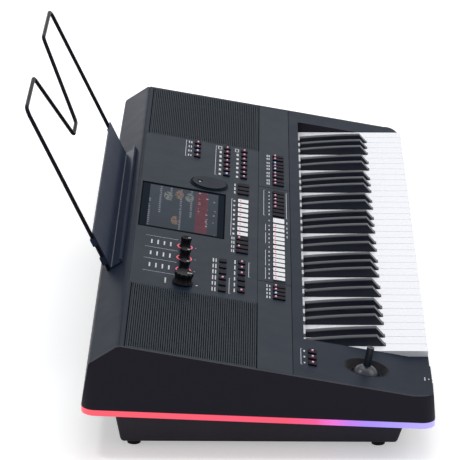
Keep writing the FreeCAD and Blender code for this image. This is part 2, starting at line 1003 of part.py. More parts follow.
def fluted_knob(place):
    top = knob_lift + knob_height
    cap = cylinder(knob_radius, knob_lift, top)
    cap = cap.makeFillet(knob_flute_radius / 2, edges_on_top(cap))
    flutes = []
    for index in range(knob_flutes):
        angle = math.tau * index / knob_flutes
        base = V(knob_radius * math.cos(angle), knob_radius * math.sin(angle), knob_lift + knob_flute_radius)
        flutes.append(Part.makeCylinder(knob_flute_radius, top, base))
    knob = cap.cut(flutes).fuse(spindle(top - knob_flute_radius)).removeSplitter()
    return on_panel(knob, place, knob_row)


def volume_knob():
    top = knob_lift + volume_height
    cap = revolved([
        (0, knob_lift),
        (volume_base_radius, knob_lift),
        (volume_base_radius, knob_lift + volume_base_height / 2),
        (volume_waist_radius, knob_lift + volume_base_height * 2),
        (volume_top_radius, top - button_edge),
        (volume_top_radius - button_edge, top),
        (0, top),
    ])
    return on_panel(cap.fuse(spindle(top - volume_base_height)).removeSplitter(), volume_place, knob_row)


def data_dial():
    top = knob_lift + dial_height
    disc = cylinder(dial_radius, knob_lift, top)
    disc = disc.makeFillet(dial_edge, edges_on_top(disc))
    centre = V(0, dial_dimple_offset, top + dial_dimple_radius - dial_dimple_depth)
    disc = disc.cut(Part.makeSphere(dial_dimple_radius, centre))
    return on_panel(disc.fuse(spindle(top - dial_dimple_depth)).removeSplitter(), dial_place, dial_row)


def rotary_encoders():
    """Square bodies on the panel board, with bushes that reach through the panel."""
    low = -board_depth
    body = centred_box(encoder_size, encoder_size, low, low + encoder_height)
    bush = cylinder(bush_radius, low, knob_lift - seat_gap)
    bore = cylinder(spindle_radius + running_gap, -spindle_reach - seat_gap, overrun)
    encoder = body.fuse(bush).removeSplitter().cut(bore)
    return Part.makeCompound([on_panel(encoder, place, from_front) for place, from_front in encoder_places])


def knob_light_rings():
    ring = tube(ring_outer, ring_inner, -ring_recess, ring_thickness - ring_recess)
    return Part.makeCompound([on_panel(ring, place, knob_row) for place in knob_places])


lug_inner = yoke_arm_inner + yoke_arm_thickness + panel_gap


def joystick_housing():
    under = -dish_depth - dish_floor
    dish = revolved([
        (dish_radius, 0),
        (dish_radius - dish_rim, 0),
        (dish_floor_radius, -dish_depth),
        (dish_hole_radius, -dish_depth),
        (dish_hole_radius, under),
        (dish_floor_radius, under),
        (dish_radius, -wall),
    ])
    drop = -ball_sink - lug_drop
    lug = Part.makeBox(pin_length, lug_width, -dish_rim - drop, V(lug_inner, -lug_width / 2, drop))
    bowl = revolved([
        (0, 0),
        (dish_radius - dish_rim, 0),
        (dish_floor_radius, -dish_depth),
        (0, -dish_depth),
    ])
    lugs = [lug.cut(bowl), lug.mirror(ORIGIN, X_AXIS).cut(bowl)]
    reach = dish_radius + overrun
    axle = Part.makeCylinder(pin_radius + running_gap, reach * 2, V(-reach, 0, -ball_sink), X_AXIS)
    return on_panel(dish.fuse(lugs).removeSplitter().cut(axle), stick_place, stick_row)


def joystick_yoke():
    """A cradle that hangs from two pins and is slotted for the stick's lower stem."""
    low = -ball_sink - yoke_drop - yoke_floor
    outer = yoke_arm_inner + yoke_arm_thickness
    half = yoke_arm_width / 2
    arm = Part.makeBox(yoke_arm_thickness, yoke_arm_width, -ball_sink - low, V(yoke_arm_inner, -half, low))
    eye = Part.makeCylinder(half, yoke_arm_thickness, V(yoke_arm_inner, 0, -ball_sink), X_AXIS)
    pin = Part.makeCylinder(pin_radius, pin_length, V(outer, 0, -ball_sink), X_AXIS)
    side = arm.fuse([eye, pin])
    width = stem_radius * 2 + yoke_arm_width
    floor = Part.makeBox(outer * 2, width, yoke_floor, V(-outer, -width / 2, low))
    slot_half = stem_radius + panel_gap
    slot = Part.makeBox(yoke_slot_half * 2, slot_half * 2, yoke_floor, V(-yoke_slot_half, -slot_half, low))
    yoke = floor.fuse([side, side.mirror(ORIGIN, X_AXIS)]).removeSplitter().cut(slot)
    return on_panel(yoke, stick_place, stick_row)


def joystick_stick():
    ball = Part.makeSphere(ball_radius, V(0, 0, -ball_sink))
    shaft = Part.makeCone(shaft_radius, shaft_top_radius, shaft_top + ball_sink, V(0, 0, -ball_sink))
    cup = Part.makeSphere(shaft_top_radius, V(0, 0, shaft_top + shaft_top_radius - shaft_cup))
    stem = Part.makeCylinder(stem_radius, stem_length, V(0, 0, -ball_sink - stem_length))
    return on_panel(ball.fuse([shaft, stem]).removeSplitter().cut(cup), stick_place, stick_row)


# Keys

notes = ("c", "c_sharp", "d", "d_sharp", "e", "f", "f_sharp", "g", "g_sharp", "a", "a_sharp", "b")
white_index = {"c": 0, "d": 1, "e": 2, "f": 3, "g": 4, "a": 5, "b": 6}
first_group = ("c", "c_sharp", "d", "d_sharp", "e")
second_group = ("f", "f_sharp", "g", "g_sharp", "a", "a_sharp", "b")


def black_centre(note):
    """Black keys share out the tails of their group evenly, from the octave's left edge."""
    if note in first_group:
        start = 0
        group = first_group
    else:
        start = white_pitch * white_index["f"]
        group = second_group
    whites = (len(group) + 1) // 2
    return start + white_pitch * whites * (group.index(note) + 0.5) / len(group)


def tail_sides(note, top_key):
    """Left and right edges of a white key's tail, from the octave's left edge."""
    left = white_pitch * white_index[note] + key_gap / 2
    right = left + white_pitch - key_gap
    place = notes.index(note)
    beside = black_width / 2 + key_gap
    before = notes[place - 1]
    after = notes[(place + 1) % len(notes)]
    if "sharp" in before:
        left = black_centre(before) + beside
    if "sharp" in after and not top_key:
        right = black_centre(after) - beside
    return left, right


def pivot_bore(width):
    """The hole in a key's tail for the pivot rod."""
    base = V(-width / 2, y_at(pivot_from_front), pivot_height)
    return Part.makeCylinder(rod_radius + running_gap, width, base, X_AXIS)


def key_slab(left, right, front, rear, low, high):
    """A box in an octave's own frame, whose X is zero at its left edge."""
    return Part.makeBox(right - left, rear - front, high - low, V(left, y_at(front), low))


def white_key(note, top_key=False):
    left = white_pitch * white_index[note] + key_gap / 2
    right = left + white_pitch - key_gap
    tail_left, tail_right = tail_sides(note, top_key)
    head_rear = key_front + head_length
    tail_rear = pivot_from_front + tail_end
    head = key_slab(left, right, key_front, head_rear, key_bottom, key_top)
    front_edges = [edge for edge in edges_on_top(head) if edge.BoundBox.YMax < y_at(key_front) + seat_gap]
    head = head.makeFillet(key_lip_radius, front_edges)
    tail = key_slab(tail_left, tail_right, head_rear, tail_relief_front, key_bottom, key_top)
    narrow_left = tail_left + tail_relief
    narrow_right = tail_right - tail_relief
    narrow = key_slab(narrow_left, narrow_right, tail_relief_front, tail_rear, key_bottom, key_top)
    key = head.fuse([tail, narrow]).removeSplitter()
    inside = (narrow_left + key_skin, narrow_right - key_skin)
    roof = key_top - key_skin
    cavities = [
        key_slab(*inside, key_front + key_skin, rib_front, key_bottom - overrun, roof),
        key_slab(*inside, rib_rear, cavity_rear, key_bottom - overrun, roof),
    ]
    bore = pivot_bore(white_pitch * octave_whites * 2)
    bore.translate(V((tail_left + tail_right) / 2, 0, 0))
    return key.cut(cavities + [bore])


def black_key(note):
    """An arched cap that drops to a sloped front end, on a bar that runs back to the rod."""
    half = black_width / 2
    side = [
        V(-half, y_at(black_tip), key_bottom),
        V(-half, y_at(black_tip), key_top),
        V(-half, y_at(black_tip + black_slope_run), key_top + black_front_rise),
        V(-half, y_at((black_tip + black_slope_run + black_rear) / 2), key_top + black_middle_rise),
        V(-half, y_at(black_rear), key_top + black_rear_rise),
        V(-half, y_at(black_rear), key_bottom),
    ]
    edges = [
        Part.makeLine(side[0], side[1]),
        Part.makeLine(side[1], side[2]),
        Part.Arc(side[2], side[3], side[4]).toShape(),
        Part.makeLine(side[4], side[5]),
        Part.makeLine(side[5], side[0]),
    ]
    cap = Part.Face(Part.Wire(edges)).extrude(V(black_width, 0, 0))
    top = key_top + black_front_rise
    section = [
        V(-half, y_at(black_tip), key_bottom),
        V(-half, y_at(black_tip), key_top),
        V(-black_top_width / 2, y_at(black_tip), top),
        V(black_top_width / 2, y_at(black_tip), top),
        V(half, y_at(black_tip), key_top),
        V(half, y_at(black_tip), key_bottom),
    ]
    taper = Part.Face(Part.makePolygon(section + section[:1])).extrude(V(0, black_rear - black_tip, 0))
    cap = cap.common(taper)
    upper = [edge for edge in cap.Edges if edge.BoundBox.ZMin > key_top + black_edge_radius]
    cap = cap.makeFillet(black_edge_radius, upper)
    bar_half = half - key_gap / 2
    bar = key_slab(-bar_half, bar_half, black_rear, pivot_from_front + tail_end, key_bottom, key_top)
    key = cap.fuse(bar).removeSplitter()
    inside = half - key_skin
    key = key.cut([key_slab(-inside, inside, black_tip + key_skin, rib_front, key_bottom - overrun, key_top),
                   key_slab(-inside, inside, rib_rear, cavity_rear, key_bottom - overrun, key_top - key_skin),
                   pivot_bore(black_width * 2)])
    key.translate(V(black_centre(note), 0, 0))
    return key


def octave_left(octave):
    return x_at(left_block) + white_pitch * octave_whites * octave


def keys_of(note):
    """Every key of one note name, from the lowest octave up."""
    pattern = black_key(note) if "sharp" in note else white_key(note)
    keys = []
    for octave in range(octave_count_whole):
        key = pattern.copy()
        key.translate(V(octave_left(octave), 0, 0))
        keys.append(key)
    if note == "c":
        top = white_key(note, top_key=True)
        top.translate(V(octave_left(octave_count_whole), 0, 0))
        keys.append(top)
    return Part.makeCompound(keys)


def key_centres():
    """X of the middle of every key's tail."""
    centres = []
    for octave in range(octave_count_whole):
        for note in notes:
            middle = black_centre(note) if "sharp" in note else sum(tail_sides(note, False)) / 2
            centres.append(octave_left(octave) + middle)
    centres.append(octave_left(octave_count_whole) + sum(tail_sides("c", True)) / 2)
    return centres


def rod_lug_places():
    """X of the gaps between two white keys that no black key parts, and of both ends."""
    places = []
    for octave in range(octave_count_whole):
        places.append(octave_left(octave) + white_pitch * white_index["f"])
        places.append(octave_left(octave) + white_pitch * octave_whites)
    return places


frame_left = left_block + frame_end_gap
frame_right = length - right_block - frame_end_gap


def key_frame():
    floor = frame_plate_top - frame_plate
    rear = pivot_from_front + tail_end + frame_rear_gap
    foot = frame_front + frame_plate
    tray_top_front = waist(frame_front) - bar_height + tray_floor
    tray_top_rear = waist(foot) - bar_height + tray_floor
    section = [
        (frame_front, tray_top_front),
        (frame_front, frame_plate_top),
        (rear, frame_plate_top),
        (rear, frame_wall_top),
        (rear + frame_rear_wall, frame_wall_top),
        (rear + frame_rear_wall, floor),
        (foot, floor),
        (foot, tray_top_rear),
    ]
    frame = prism_along_x(section, frame_left, frame_right)
    half = frame_lug_thickness / 2
    front = y_at(pivot_from_front - frame_lug_reach)
    lugs = []
    for place in rod_lug_places():
        lugs.append(Part.makeBox(frame_lug_thickness, y_at(rear) - front, frame_wall_top - floor,
                                 V(place - half, front, floor)))
    return frame.fuse(lugs).removeSplitter().cut(pivot_bore(length))


def key_pivot_rod():
    base = V(x_at(frame_left), y_at(pivot_from_front), pivot_height)
    return Part.makeCylinder(rod_radius, frame_right - frame_left, base, X_AXIS)


def key_contact_board():
    low = frame_plate_top
    return block(frame_left, frame_right, contact_front, contact_rear, low, low + contact_thickness)


def contact_rubber_strip():
    low = frame_plate_top + contact_thickness
    front = contact_front + strip_margin
    strip = block(frame_left, frame_right, front, contact_rear - strip_margin, low, low + strip_base)
    domes = []
    for centre in key_centres():
        base = V(centre, y_at(dome_place), low)
        domes.append(Part.makeCone(dome_radius, dome_top_radius, dome_height, base))
    return strip.fuse(domes).removeSplitter()


def key_return_springs():
    """One comb of spring steel: a spine on the chassis and a slanted finger under every key."""
    spine_rear = spring_front + spring_spine
    low = frame_plate_top
    spine = block(frame_left, frame_right, spring_front, spine_rear, low, low + spring_thickness)
    tip = key_bottom - spring_tip_gap
    profile = [
        V(0, y_at(spine_rear), low),
        V(0, y_at(spine_rear), low + spring_thickness),
        V(0, y_at(spring_tip), tip),
        V(0, y_at(spring_tip), tip - spring_thickness),
    ]
    finger = Part.Face(Part.makePolygon(profile + profile[:1])).extrude(V(spring_width, 0, 0))
    fingers = []
    for centre in key_centres():
        copy = finger.copy()
        copy.translate(V(centre - spring_width / 2, 0, 0))
        fingers.append(copy)
    return spine.fuse(fingers).removeSplitter()


def key_felt_strips():
    low = frame_plate_top
    return block(frame_left, frame_right, felt_front, felt_front + felt_depth, low, low + felt_thickness)


# Inside and behind

def loudspeaker(side):
    """A square flange on the window's ledges, a flared basket with its cone, and a magnet."""
    top = -wall
    flange = centred_box(speaker_flange, speaker_flange, top - speaker_flange_thickness, top)
    basket = revolved([
        (0, top - speaker_basket_depth - speaker_skin),
        (0, top - speaker_basket_depth + speaker_cap_rise),
        (speaker_cap_radius, top - speaker_basket_depth + speaker_skin),
        (speaker_mouth - speaker_skin, top),
        (speaker_mouth, top),
        (speaker_mouth, top - speaker_flange_thickness),
        (speaker_neck, top - speaker_basket_depth - speaker_skin),
    ])
    neck = top - speaker_basket_depth - speaker_skin
    magnet = cylinder(speaker_magnet_radius, top - speaker_magnet_depth, neck)
    mouth = cylinder(speaker_mouth - speaker_skin, top - overrun, top + overrun)
    speaker = flange.cut(mouth).fuse([basket, magnet]).removeSplitter()
    speaker = on_panel(speaker, speaker_from_end, (grille_front + grille_rear) / 2)
    return speaker.mirror(ORIGIN, X_AXIS) if side else speaker


def main_board():
    low = tub_bottom + wall + main_lift
    return block(main_left, main_right, main_front, main_rear, low, low + board_thickness)


def jack_sockets():
    """Quarter-inch sockets: a threaded barrel through the wall and a nut outside."""
    socket = revolved([
        (0, -jack_depth),
        (jack_barrel_radius, -jack_depth),
        (jack_barrel_radius, 0),
        (jack_nut_radius, 0),
        (jack_nut_radius, jack_nut_height),
        (jack_bore_radius, jack_nut_height),
        (jack_bore_radius, jack_nut_height - jack_bore_depth),
        (0, jack_nut_height - jack_bore_depth),
    ])
    sockets = [on_rear(socket, place, jack_height) for place in row(jack_first, jack_pitch, jack_count)]
    sockets.append(on_front(socket, phones_place, phones_height))
    return Part.makeCompound(sockets)


def rear_ports():
    """Two flat data ports and a round power inlet, each with its tongue or pin."""
    shell = centred_box(usb_width, usb_height, -usb_depth, port_proud)
    room = centred_box(usb_width - usb_skin * 2, usb_height - usb_skin * 2, usb_skin - usb_depth, overrun)
    tongue = centred_box(usb_width - usb_tongue * 2, usb_tongue, -usb_depth, 0)
    usb = shell.cut(room).fuse(tongue).removeSplitter()
    inlet = revolved([
        (0, -inlet_depth),
        (inlet_radius, -inlet_depth),
        (inlet_radius, port_proud),
        (inlet_bore_radius, port_proud),
        (inlet_bore_radius, usb_skin - inlet_depth),
        (inlet_pin_radius, usb_skin - inlet_depth),
        (inlet_pin_radius, 0),
        (0, 0),
    ])
    ports = [on_rear(usb, place, port_height) for place in usb_places]
    return Part.makeCompound(ports + [on_rear(inlet, inlet_place, port_height)])


def power_button():
    cap = rounded_box(power_width, power_depth, -power_reach, power_proud, power_corner, button_edge)
    return on_rear(cap, power_place, port_height)


# Music stand

def music_stand_wire():
    """One bent rod: up a leg, across a shoulder, down into the middle dip, and the same back."""
    half = [
        V(-stand_half_width, 0, -leg_depth),
        V(-stand_half_width, 0, stand_height),
        V(-wire_shoulder, 0, stand_height),
        V(-wire_dip, 0, wire_dip_height),
    ]
    points = half + [V(-point.x, 0, point.z) for point in reversed(half)]
    edges = []
    start = points[0]
    for before, corner, after in zip(points, points[1:], points[2:]):
        back = (before - corner).normalize()
        ahead = (after - corner).normalize()
        turn = math.pi - back.getAngle(ahead)
        trim = wire_bend * math.tan(turn / 2)
        enter = corner + back * trim
        leave = corner + ahead * trim
        inward = (back + ahead).normalize()
        middle = corner + inward * (wire_bend / math.cos(turn / 2) - wire_bend)
        edges.append(Part.LineSegment(start, enter).toShape())
        edges.append(Part.Arc(enter, middle, leave).toShape())
        start = leave
    edges.append(Part.LineSegment(start, points[-1]).toShape())
    path = Part.Wire(edges)
    section = Part.Wire(Part.makeCircle(wire_radius, points[0], Z_AXIS))
    rod = path.makePipeShell([section], True, True)
    return on_stand(rod)


def music_stand_plate():
    """A sheet in front of the wire, folded forward into a ledge that lies along the rear chamfer."""
    rise = math.tan(chamfer_angle - tilt)
    back = wire_radius
    face = wire_radius + plate_thickness
    lip = face + ledge_depth
    inner = lip - plate_thickness

    def underside(ahead):
        return ledge_gap + ahead * rise

    def topside(ahead):
        return underside(ahead) + plate_thickness

    points = [
        (back, underside(back)),
        (back, plate_height),
        (face, plate_height),
        (face, topside(face)),
        (inner, topside(inner)),
        (inner, topside(inner) + ledge_lip),
        (lip, topside(inner) + ledge_lip),
        (lip, underside(lip)),
    ]
    half = stand_half_width + plate_overhang
    corners = [V(-half, -ahead, height) for ahead, height in points]
    sheet = Part.Face(Part.makePolygon(corners + corners[:1])).extrude(V(half * 2, 0, 0))
    clips = []
    for leg in (-stand_half_width, stand_half_width):
        for low in (clip_lower, clip_upper):
            clips.append(Part.makeBox(clip_half_width * 2, clip_depth + wire_radius, clip_height,
                                      V(leg - clip_half_width, -wire_radius, low)))
    room = Part.makeBox(half * 2, overall_depth, stand_height, V(-half, -face, 0))
    trimmed = [clip.common(room) for clip in clips]
    bores = [Part.makeCylinder(wire_radius + running_gap, stand_height, V(leg, 0, 0))
             for leg in (-stand_half_width, stand_half_width)]
    return on_stand(sheet.fuse(trimmed).removeSplitter().cut(bores))


# Assembly

nodes = {
    "top_case": top_case(),
    "control_panel": control_panel(),
    "front_rail": front_rail(),
    "bottom_case": bottom_case(),
    "light_bar_left": light_bar(0),
    "light_bar_right": light_bar(1),
    "light_boards": light_boards(),
    "speaker_grille_left": speaker_grille(0),
    "speaker_grille_right": speaker_grille(1),
    "speaker_left": loudspeaker(0),
    "speaker_right": loudspeaker(1),
    "display_lens": display_lens(),
    "display_module": display_module(),
    "panel_board": panel_board(),
    "main_board": main_board(),
    "key_frame": key_frame(),
    "key_pivot_rod": key_pivot_rod(),
    "key_contact_board": key_contact_board(),
    "contact_rubber_strip": contact_rubber_strip(),
    "key_return_springs": key_return_springs(),
    "key_felt_strips": key_felt_strips(),
    "joystick_housing": joystick_housing(),
    "joystick_yoke": joystick_yoke(),
    "joystick_stick": joystick_stick(),
    "jack_sockets": jack_sockets(),
    "rear_ports": rear_ports(),
    "power_button": power_button(),
    "rubber_feet": rubber_feet(),
    "case_screws": case_screws(),
    "rotary_encoders": rotary_encoders(),
    "knob_light_rings": knob_light_rings(),
    "volume_knob": volume_knob(),
    "data_dial": data_dial(),
    "octave_buttons": octave_buttons(),
    "music_stand_plate": music_stand_plate(),
    "music_stand_wire": music_stand_wire(),
}
for name, buttons in banks.items():
    nodes[name] = button_bank(buttons)
for index, place in enumerate(knob_places):
    nodes["knob_" + str(index + 1)] = fluted_knob(place)
for note in notes:
    nodes["keys_" + note] = keys_of(note)

os.makedirs("parts", exist_ok=True)
for name, shape in nodes.items():
    shape.exportStep("parts/" + name + ".step")
    solids = len(shape.Solids)
    state = "valid" if shape.isValid() else "INVALID"
    print(name, solids, "solids", round(shape.Volume), "mm3", state)
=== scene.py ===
# %% [markdown]
# # Dressing a 61-key arranger keyboard
# The solids of the keyboard are already in one frame: metres, +Z up, the player at -Y and
# the lowest key at -X. This lesson adds what solids cannot carry: finishes, small lamps,
# printed marks, fluted knobs, a lit screen, and the studio. Loading comes first, because
# every later piece is placed by the frame and rides on one of its bodies.

# %% Load the fixed frame
import math

import bpy
import numpy as np
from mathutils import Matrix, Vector


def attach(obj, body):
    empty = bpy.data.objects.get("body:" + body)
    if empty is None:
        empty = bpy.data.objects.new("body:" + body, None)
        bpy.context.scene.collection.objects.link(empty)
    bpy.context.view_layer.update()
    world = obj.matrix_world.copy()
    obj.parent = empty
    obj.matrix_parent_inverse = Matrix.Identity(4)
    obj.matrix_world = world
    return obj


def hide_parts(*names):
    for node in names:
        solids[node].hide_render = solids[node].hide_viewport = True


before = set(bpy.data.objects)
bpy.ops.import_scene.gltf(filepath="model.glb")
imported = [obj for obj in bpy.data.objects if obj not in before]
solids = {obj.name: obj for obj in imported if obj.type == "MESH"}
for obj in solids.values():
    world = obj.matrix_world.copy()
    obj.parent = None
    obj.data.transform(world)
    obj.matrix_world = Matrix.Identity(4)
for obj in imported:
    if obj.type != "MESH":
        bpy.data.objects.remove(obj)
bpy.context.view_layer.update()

scene = bpy.context.scene
scene.view_settings.view_transform = "Standard"

# %% [markdown]
# ## Places on the keyboard
# A maker measures this keyboard from its left end and from its front edge, in millimetres,
# so the same two rulers are kept here. The control panel slopes up towards the back. A point
# on it is given by its two ruler readings and its height square to the slope, and one small
# function turns whole arrays of such readings into the frame.

# %% Rulers and the sloped panel
MM = 0.001
LENGTH = 1018.0
DEPTH = 494.86
LAND_HEIGHT, LAND_DEPTH = 80.2, 27.0
RIDGE_HEIGHT, RIDGE_FROM_FRONT = 141.2, 370.0
SLOPE = math.atan2(RIDGE_HEIGHT - LAND_HEIGHT, RIDGE_FROM_FRONT - LAND_DEPTH)


def on_panel(from_left, from_front, above):
    """Ruler readings to the frame: a point of the sloped plane, then up its normal by above."""
    x = from_left - LENGTH / 2
    y = from_front - DEPTH / 2 - above * math.sin(SLOPE)
    z = LAND_HEIGHT + (from_front - LAND_DEPTH) * math.tan(SLOPE) + above * math.cos(SLOPE)
    return np.stack(np.broadcast_arrays(x, y, z), axis=-1) * MM


def stand_on_panel(points, from_left, from_front):
    """A shape modelled upright at the origin, stood square to the panel at one place."""
    along, back, above = points.T
    return on_panel(from_left + along, from_front + back * math.cos(SLOPE), above)


print("panel slope:", round(math.degrees(SLOPE), 2), "degrees")

# %% [markdown]
# ## Camera
# The photograph was taken from beyond the left end, a long way off and from a little above,
# so the keys run away from the viewer and hardly shrink. A long lens on a distant camera
# gives that flat view; the place and the angle were solved from the corners of the body.

# %% Camera at the photograph's angle
PHOTO_SIDE = 460
FOCAL_PIXELS = 3140.2
SENSOR = 36.0
CAMERA_PLACE = (-3.8743, -0.0465, 1.4946)
YAW, PITCH = math.radians(0.661), math.radians(19.776)
FARTHEST_SEEN = 60.0
forward = Vector((math.cos(YAW) * math.cos(PITCH), math.sin(YAW) * math.cos(PITCH), -math.sin(PITCH)))
lens = bpy.data.cameras.new("photo_camera")
lens.sensor_fit = "HORIZONTAL"
lens.sensor_width = SENSOR
lens.lens = SENSOR * FOCAL_PIXELS / PHOTO_SIDE
lens.clip_end = FARTHEST_SEEN
camera = bpy.data.objects.new("photo_camera", lens)
camera.location = CAMERA_PLACE
camera.rotation_mode = "QUATERNION"
camera.rotation_quaternion = forward.to_track_quat("-Z", "Y")
scene.collection.objects.link(camera)
scene.camera = camera
print("lens:", round(lens.lens, 1), "mm")

# %% [markdown]
# ## Shader maths as plain Python
# A finish is easier to read as arithmetic than as a web of nodes. The class below wraps one
# output of a material. Adding, multiplying or comparing wrapped values adds the Math node
# that does it, and a single method makes every kind of node. Colours never pass through
# Math nodes, which would turn them grey; they go through Mix.

# %% One class for shader values
class Wire:
    """One output socket of a material, with operators that add Math nodes."""

    def __init__(self, tree, socket):
        self.tree = tree
        self.socket = socket

    def node(self, kind, settings=None, values=None, output=0):
        """Any node: its settings first, then the values or links of its sockets."""
        made = self.tree.nodes.new(kind)
        for key, value in (settings or {}).items():
            if key == "stops":
                ramp = made.color_ramp.elements
                for index, (position, colour) in enumerate(value):
                    stop = ramp[index] if index < 2 else ramp.new(position)
                    stop.position = position
                    stop.color = (*colour, 1.0)
            else:
                setattr(made, key, value)
        for key, value in (values or {}).items():
            if isinstance(value, Wire):
                self.tree.links.new(value.socket, made.inputs[key])
            else:
                made.inputs[key].default_value = value
        return Wire(self.tree, made.outputs[output])

    def maths(self, operation, other=0.0):
        return self.node("ShaderNodeMath", {"operation": operation}, {0: self, 1: other})

    def __add__(self, other):
        return self.maths("ADD", other)

    def __sub__(self, other):
        return self.maths("SUBTRACT", other)

    def __mul__(self, other):
        return self.maths("MULTIPLY", other)

    def __truediv__(self, other):
        return self.maths("DIVIDE", other)

    def __pow__(self, other):
        return self.maths("POWER", other)

    def __gt__(self, other):
        return self.maths("GREATER_THAN", other)

    def __lt__(self, other):
        return self.maths("LESS_THAN", other)

    def whole(self):
        return self.maths("FLOOR")

    def part(self):
        return self.maths("FRACT")

    def size(self):
        return self.maths("ABSOLUTE")

    def axis(self, name):
        return self.node("ShaderNodeSeparateXYZ", None, {0: self}, name)

    def noise(self, grain, detail=2.0):
        """Smooth noise whose blotches are about one grain across, in metres."""
        return self.node("ShaderNodeTexNoise", None, {"Vector": self, "Scale": 1 / grain, "Detail": detail})

    def ramp(self, *stops):
        return self.node("ShaderNodeValToRGB", {"stops": stops}, {0: self})

    def mixed(self, first, second):
        """Two colours mixed by this value as the factor."""
        first, second = (value if isinstance(value, Wire) else (*value, 1.0) for value in (first, second))
        return self.node("ShaderNodeMix", {"data_type": "RGBA"}, {0: self, 6: first, 7: second}, 2)

    def bump(self, distance):
        return self.node("ShaderNodeBump", None, {"Height": self, "Distance": distance})


class Finish:
    """A new material: constants go straight to the shader's sockets, and wires are fed in later."""

    def __init__(self, name, coordinate="Object", **constants):
        self.material = bpy.data.materials.new(name)
        self.material.use_nodes = True
        tree = self.material.node_tree
        self.shader = tree.nodes["Principled BSDF"]
        self.set(**constants)
        self.place = Wire(tree, tree.nodes.new("ShaderNodeTexCoord").outputs[coordinate])

    def set(self, **values):
        """Sockets by their own names, with _ for each space; wires are linked."""
        for key, value in values.items():
            socket = self.shader.inputs[key.replace("_", " ")]
            if isinstance(value, Wire):
                value.tree.links.new(value.socket, socket)
            elif isinstance(value, tuple):
                socket.default_value = (*value, 1.0)
            else:
                socket.default_value = value
        return self.material


def shade(colour, factor):
    return tuple(channel * factor for channel in colour)


print("shader maths ready")

# %% [markdown]
# ## Studio
# The photograph is a product shot on white: soft light from overhead, almost no shadow, dark
# plastic that only shows its shape where it mirrors the pale room. A pale floor and a pale
# world give that mirror. Their extra whiteness is seen by the camera, in reflections and
# through glass only, so it adds no diffuse light to the keyboard. Four soft boxes light it:
# a wide one overhead, one on the player's side, a small one low beyond the right end and one
# high behind the left end.

# %% World and floor
ROOM_LIGHT = 0.5
FLOOR_REACH = 30.0
FLOOR_LIFT = 0.42


def seen_directly(tree):
    """One for rays from the camera, for mirrored rays and for rays through glass, else zero."""
    ray = tree.nodes.new("ShaderNodeLightPath")
    looked, mirrored, through = (Wire(tree, ray.outputs[kind]) for kind in (
        "Is Camera Ray", "Is Glossy Ray", "Is Transmission Ray"))
    return looked.maths("MAXIMUM", mirrored).maths("MAXIMUM", through)


world = bpy.data.worlds.new("studio")
scene.world = world
world.use_nodes = True
sky = world.node_tree
room = seen_directly(sky) * (1 - ROOM_LIGHT) + ROOM_LIGHT
sky.links.new(room.socket, sky.nodes["Background"].inputs["Strength"])
sky.nodes["Background"].inputs["Color"].default_value = (0.98, 0.985, 1.0, 1.0)

floor_mesh = bpy.data.meshes.new("floor")
floor_corners = np.array([[-1, -1, 0], [1, -1, 0], [1, 1, 0], [-1, 1, 0]]) * FLOOR_REACH
floor_mesh.from_pydata(floor_corners.tolist(), [], [[0, 1, 2, 3]])
floor = bpy.data.objects.new("floor", floor_mesh)
scene.collection.objects.link(floor)
paper = Finish("pale_floor", Roughness=0.9, Specular_IOR_Level=0.1)
paper.set(Base_Color=paper.place.noise(0.6).mixed((0.84, 0.845, 0.85), (0.88, 0.885, 0.89)))
tree = paper.material.node_tree
seen = seen_directly(tree)
lift = seen.node("ShaderNodeEmission", None, {"Color": (1, 1, 1, 1), "Strength": seen * FLOOR_LIFT})
both = seen.node("ShaderNodeAddShader", None, {0: Wire(tree, paper.shader.outputs[0]), 1: lift})
tree.links.new(both.socket, tree.nodes["Material Output"].inputs["Surface"])
floor_mesh.materials.append(paper.material)
print("floor and world made")

# %% Soft boxes
def softbox(name, place, target, width, depth, power):
    """A rectangular lamp that faces the target, in metres and watts."""
    lamp = bpy.data.lights.new(name, "AREA")
    lamp.shape = "RECTANGLE"
    lamp.size, lamp.size_y = width, depth
    lamp.energy = power
    box = bpy.data.objects.new(name, lamp)
    box.location = place
    box.rotation_mode = "QUATERNION"
    box.rotation_quaternion = (Vector(target) - Vector(place)).to_track_quat("-Z", "Y")
    scene.collection.objects.link(box)


softbox("overhead_box", (0.55, -0.4, 2.5), (0.15, 0.0, 0.1), 2.4, 1.6, 21.8)
softbox("player_side_box", (-0.2, -2.1, 1.9), (0.0, 0.0, 0.1), 1.6, 1.2, 16.0)
softbox("far_rear_box", (1.25, 0.41, 0.28), (0.45, 0.15, 0.13), 0.3, 0.2, 0.4)
softbox("near_end_box", (-0.52, 0.95, 2.3), (-0.44, -0.15, 0.1), 0.35, 0.35, 9.0)

# %% [markdown]
# ## Moulded plastics
# The case, the panel and the tray are the same family of black plastic, moulded against
# spark-eroded steel, which leaves a fine even grain. Three scales of noise carry it: the
# grain itself as bump, patches of slightly different gloss from handling, and a faint drift
# of colour. A single function makes the family, and each piece gets its own numbers. The
# same plastic looks slate blue on the tops and nearly black on the walls because of how
# light falls. So the function can give upright faces a colour of their own that paints how
# they take the light, and paint a highlight on the narrow rims along both ends.

# %% Grained plastic for the case, tray and panel
COLOUR_PATCH, COLOUR_DRIFT = 0.06, 0.12
GLOSS_PATCH, GLOSS_DRIFT = 0.025, 0.12
RIM_HIGHLIGHT_WIDTH = 4.5
TOP_FACE = 0.5


def looks_up(finish, limit):
    """One on faces that look up, where the Z of the normal is over the limit, else zero."""
    return finish.place.node("ShaderNodeNewGeometry", output="Normal").axis("Z") > limit


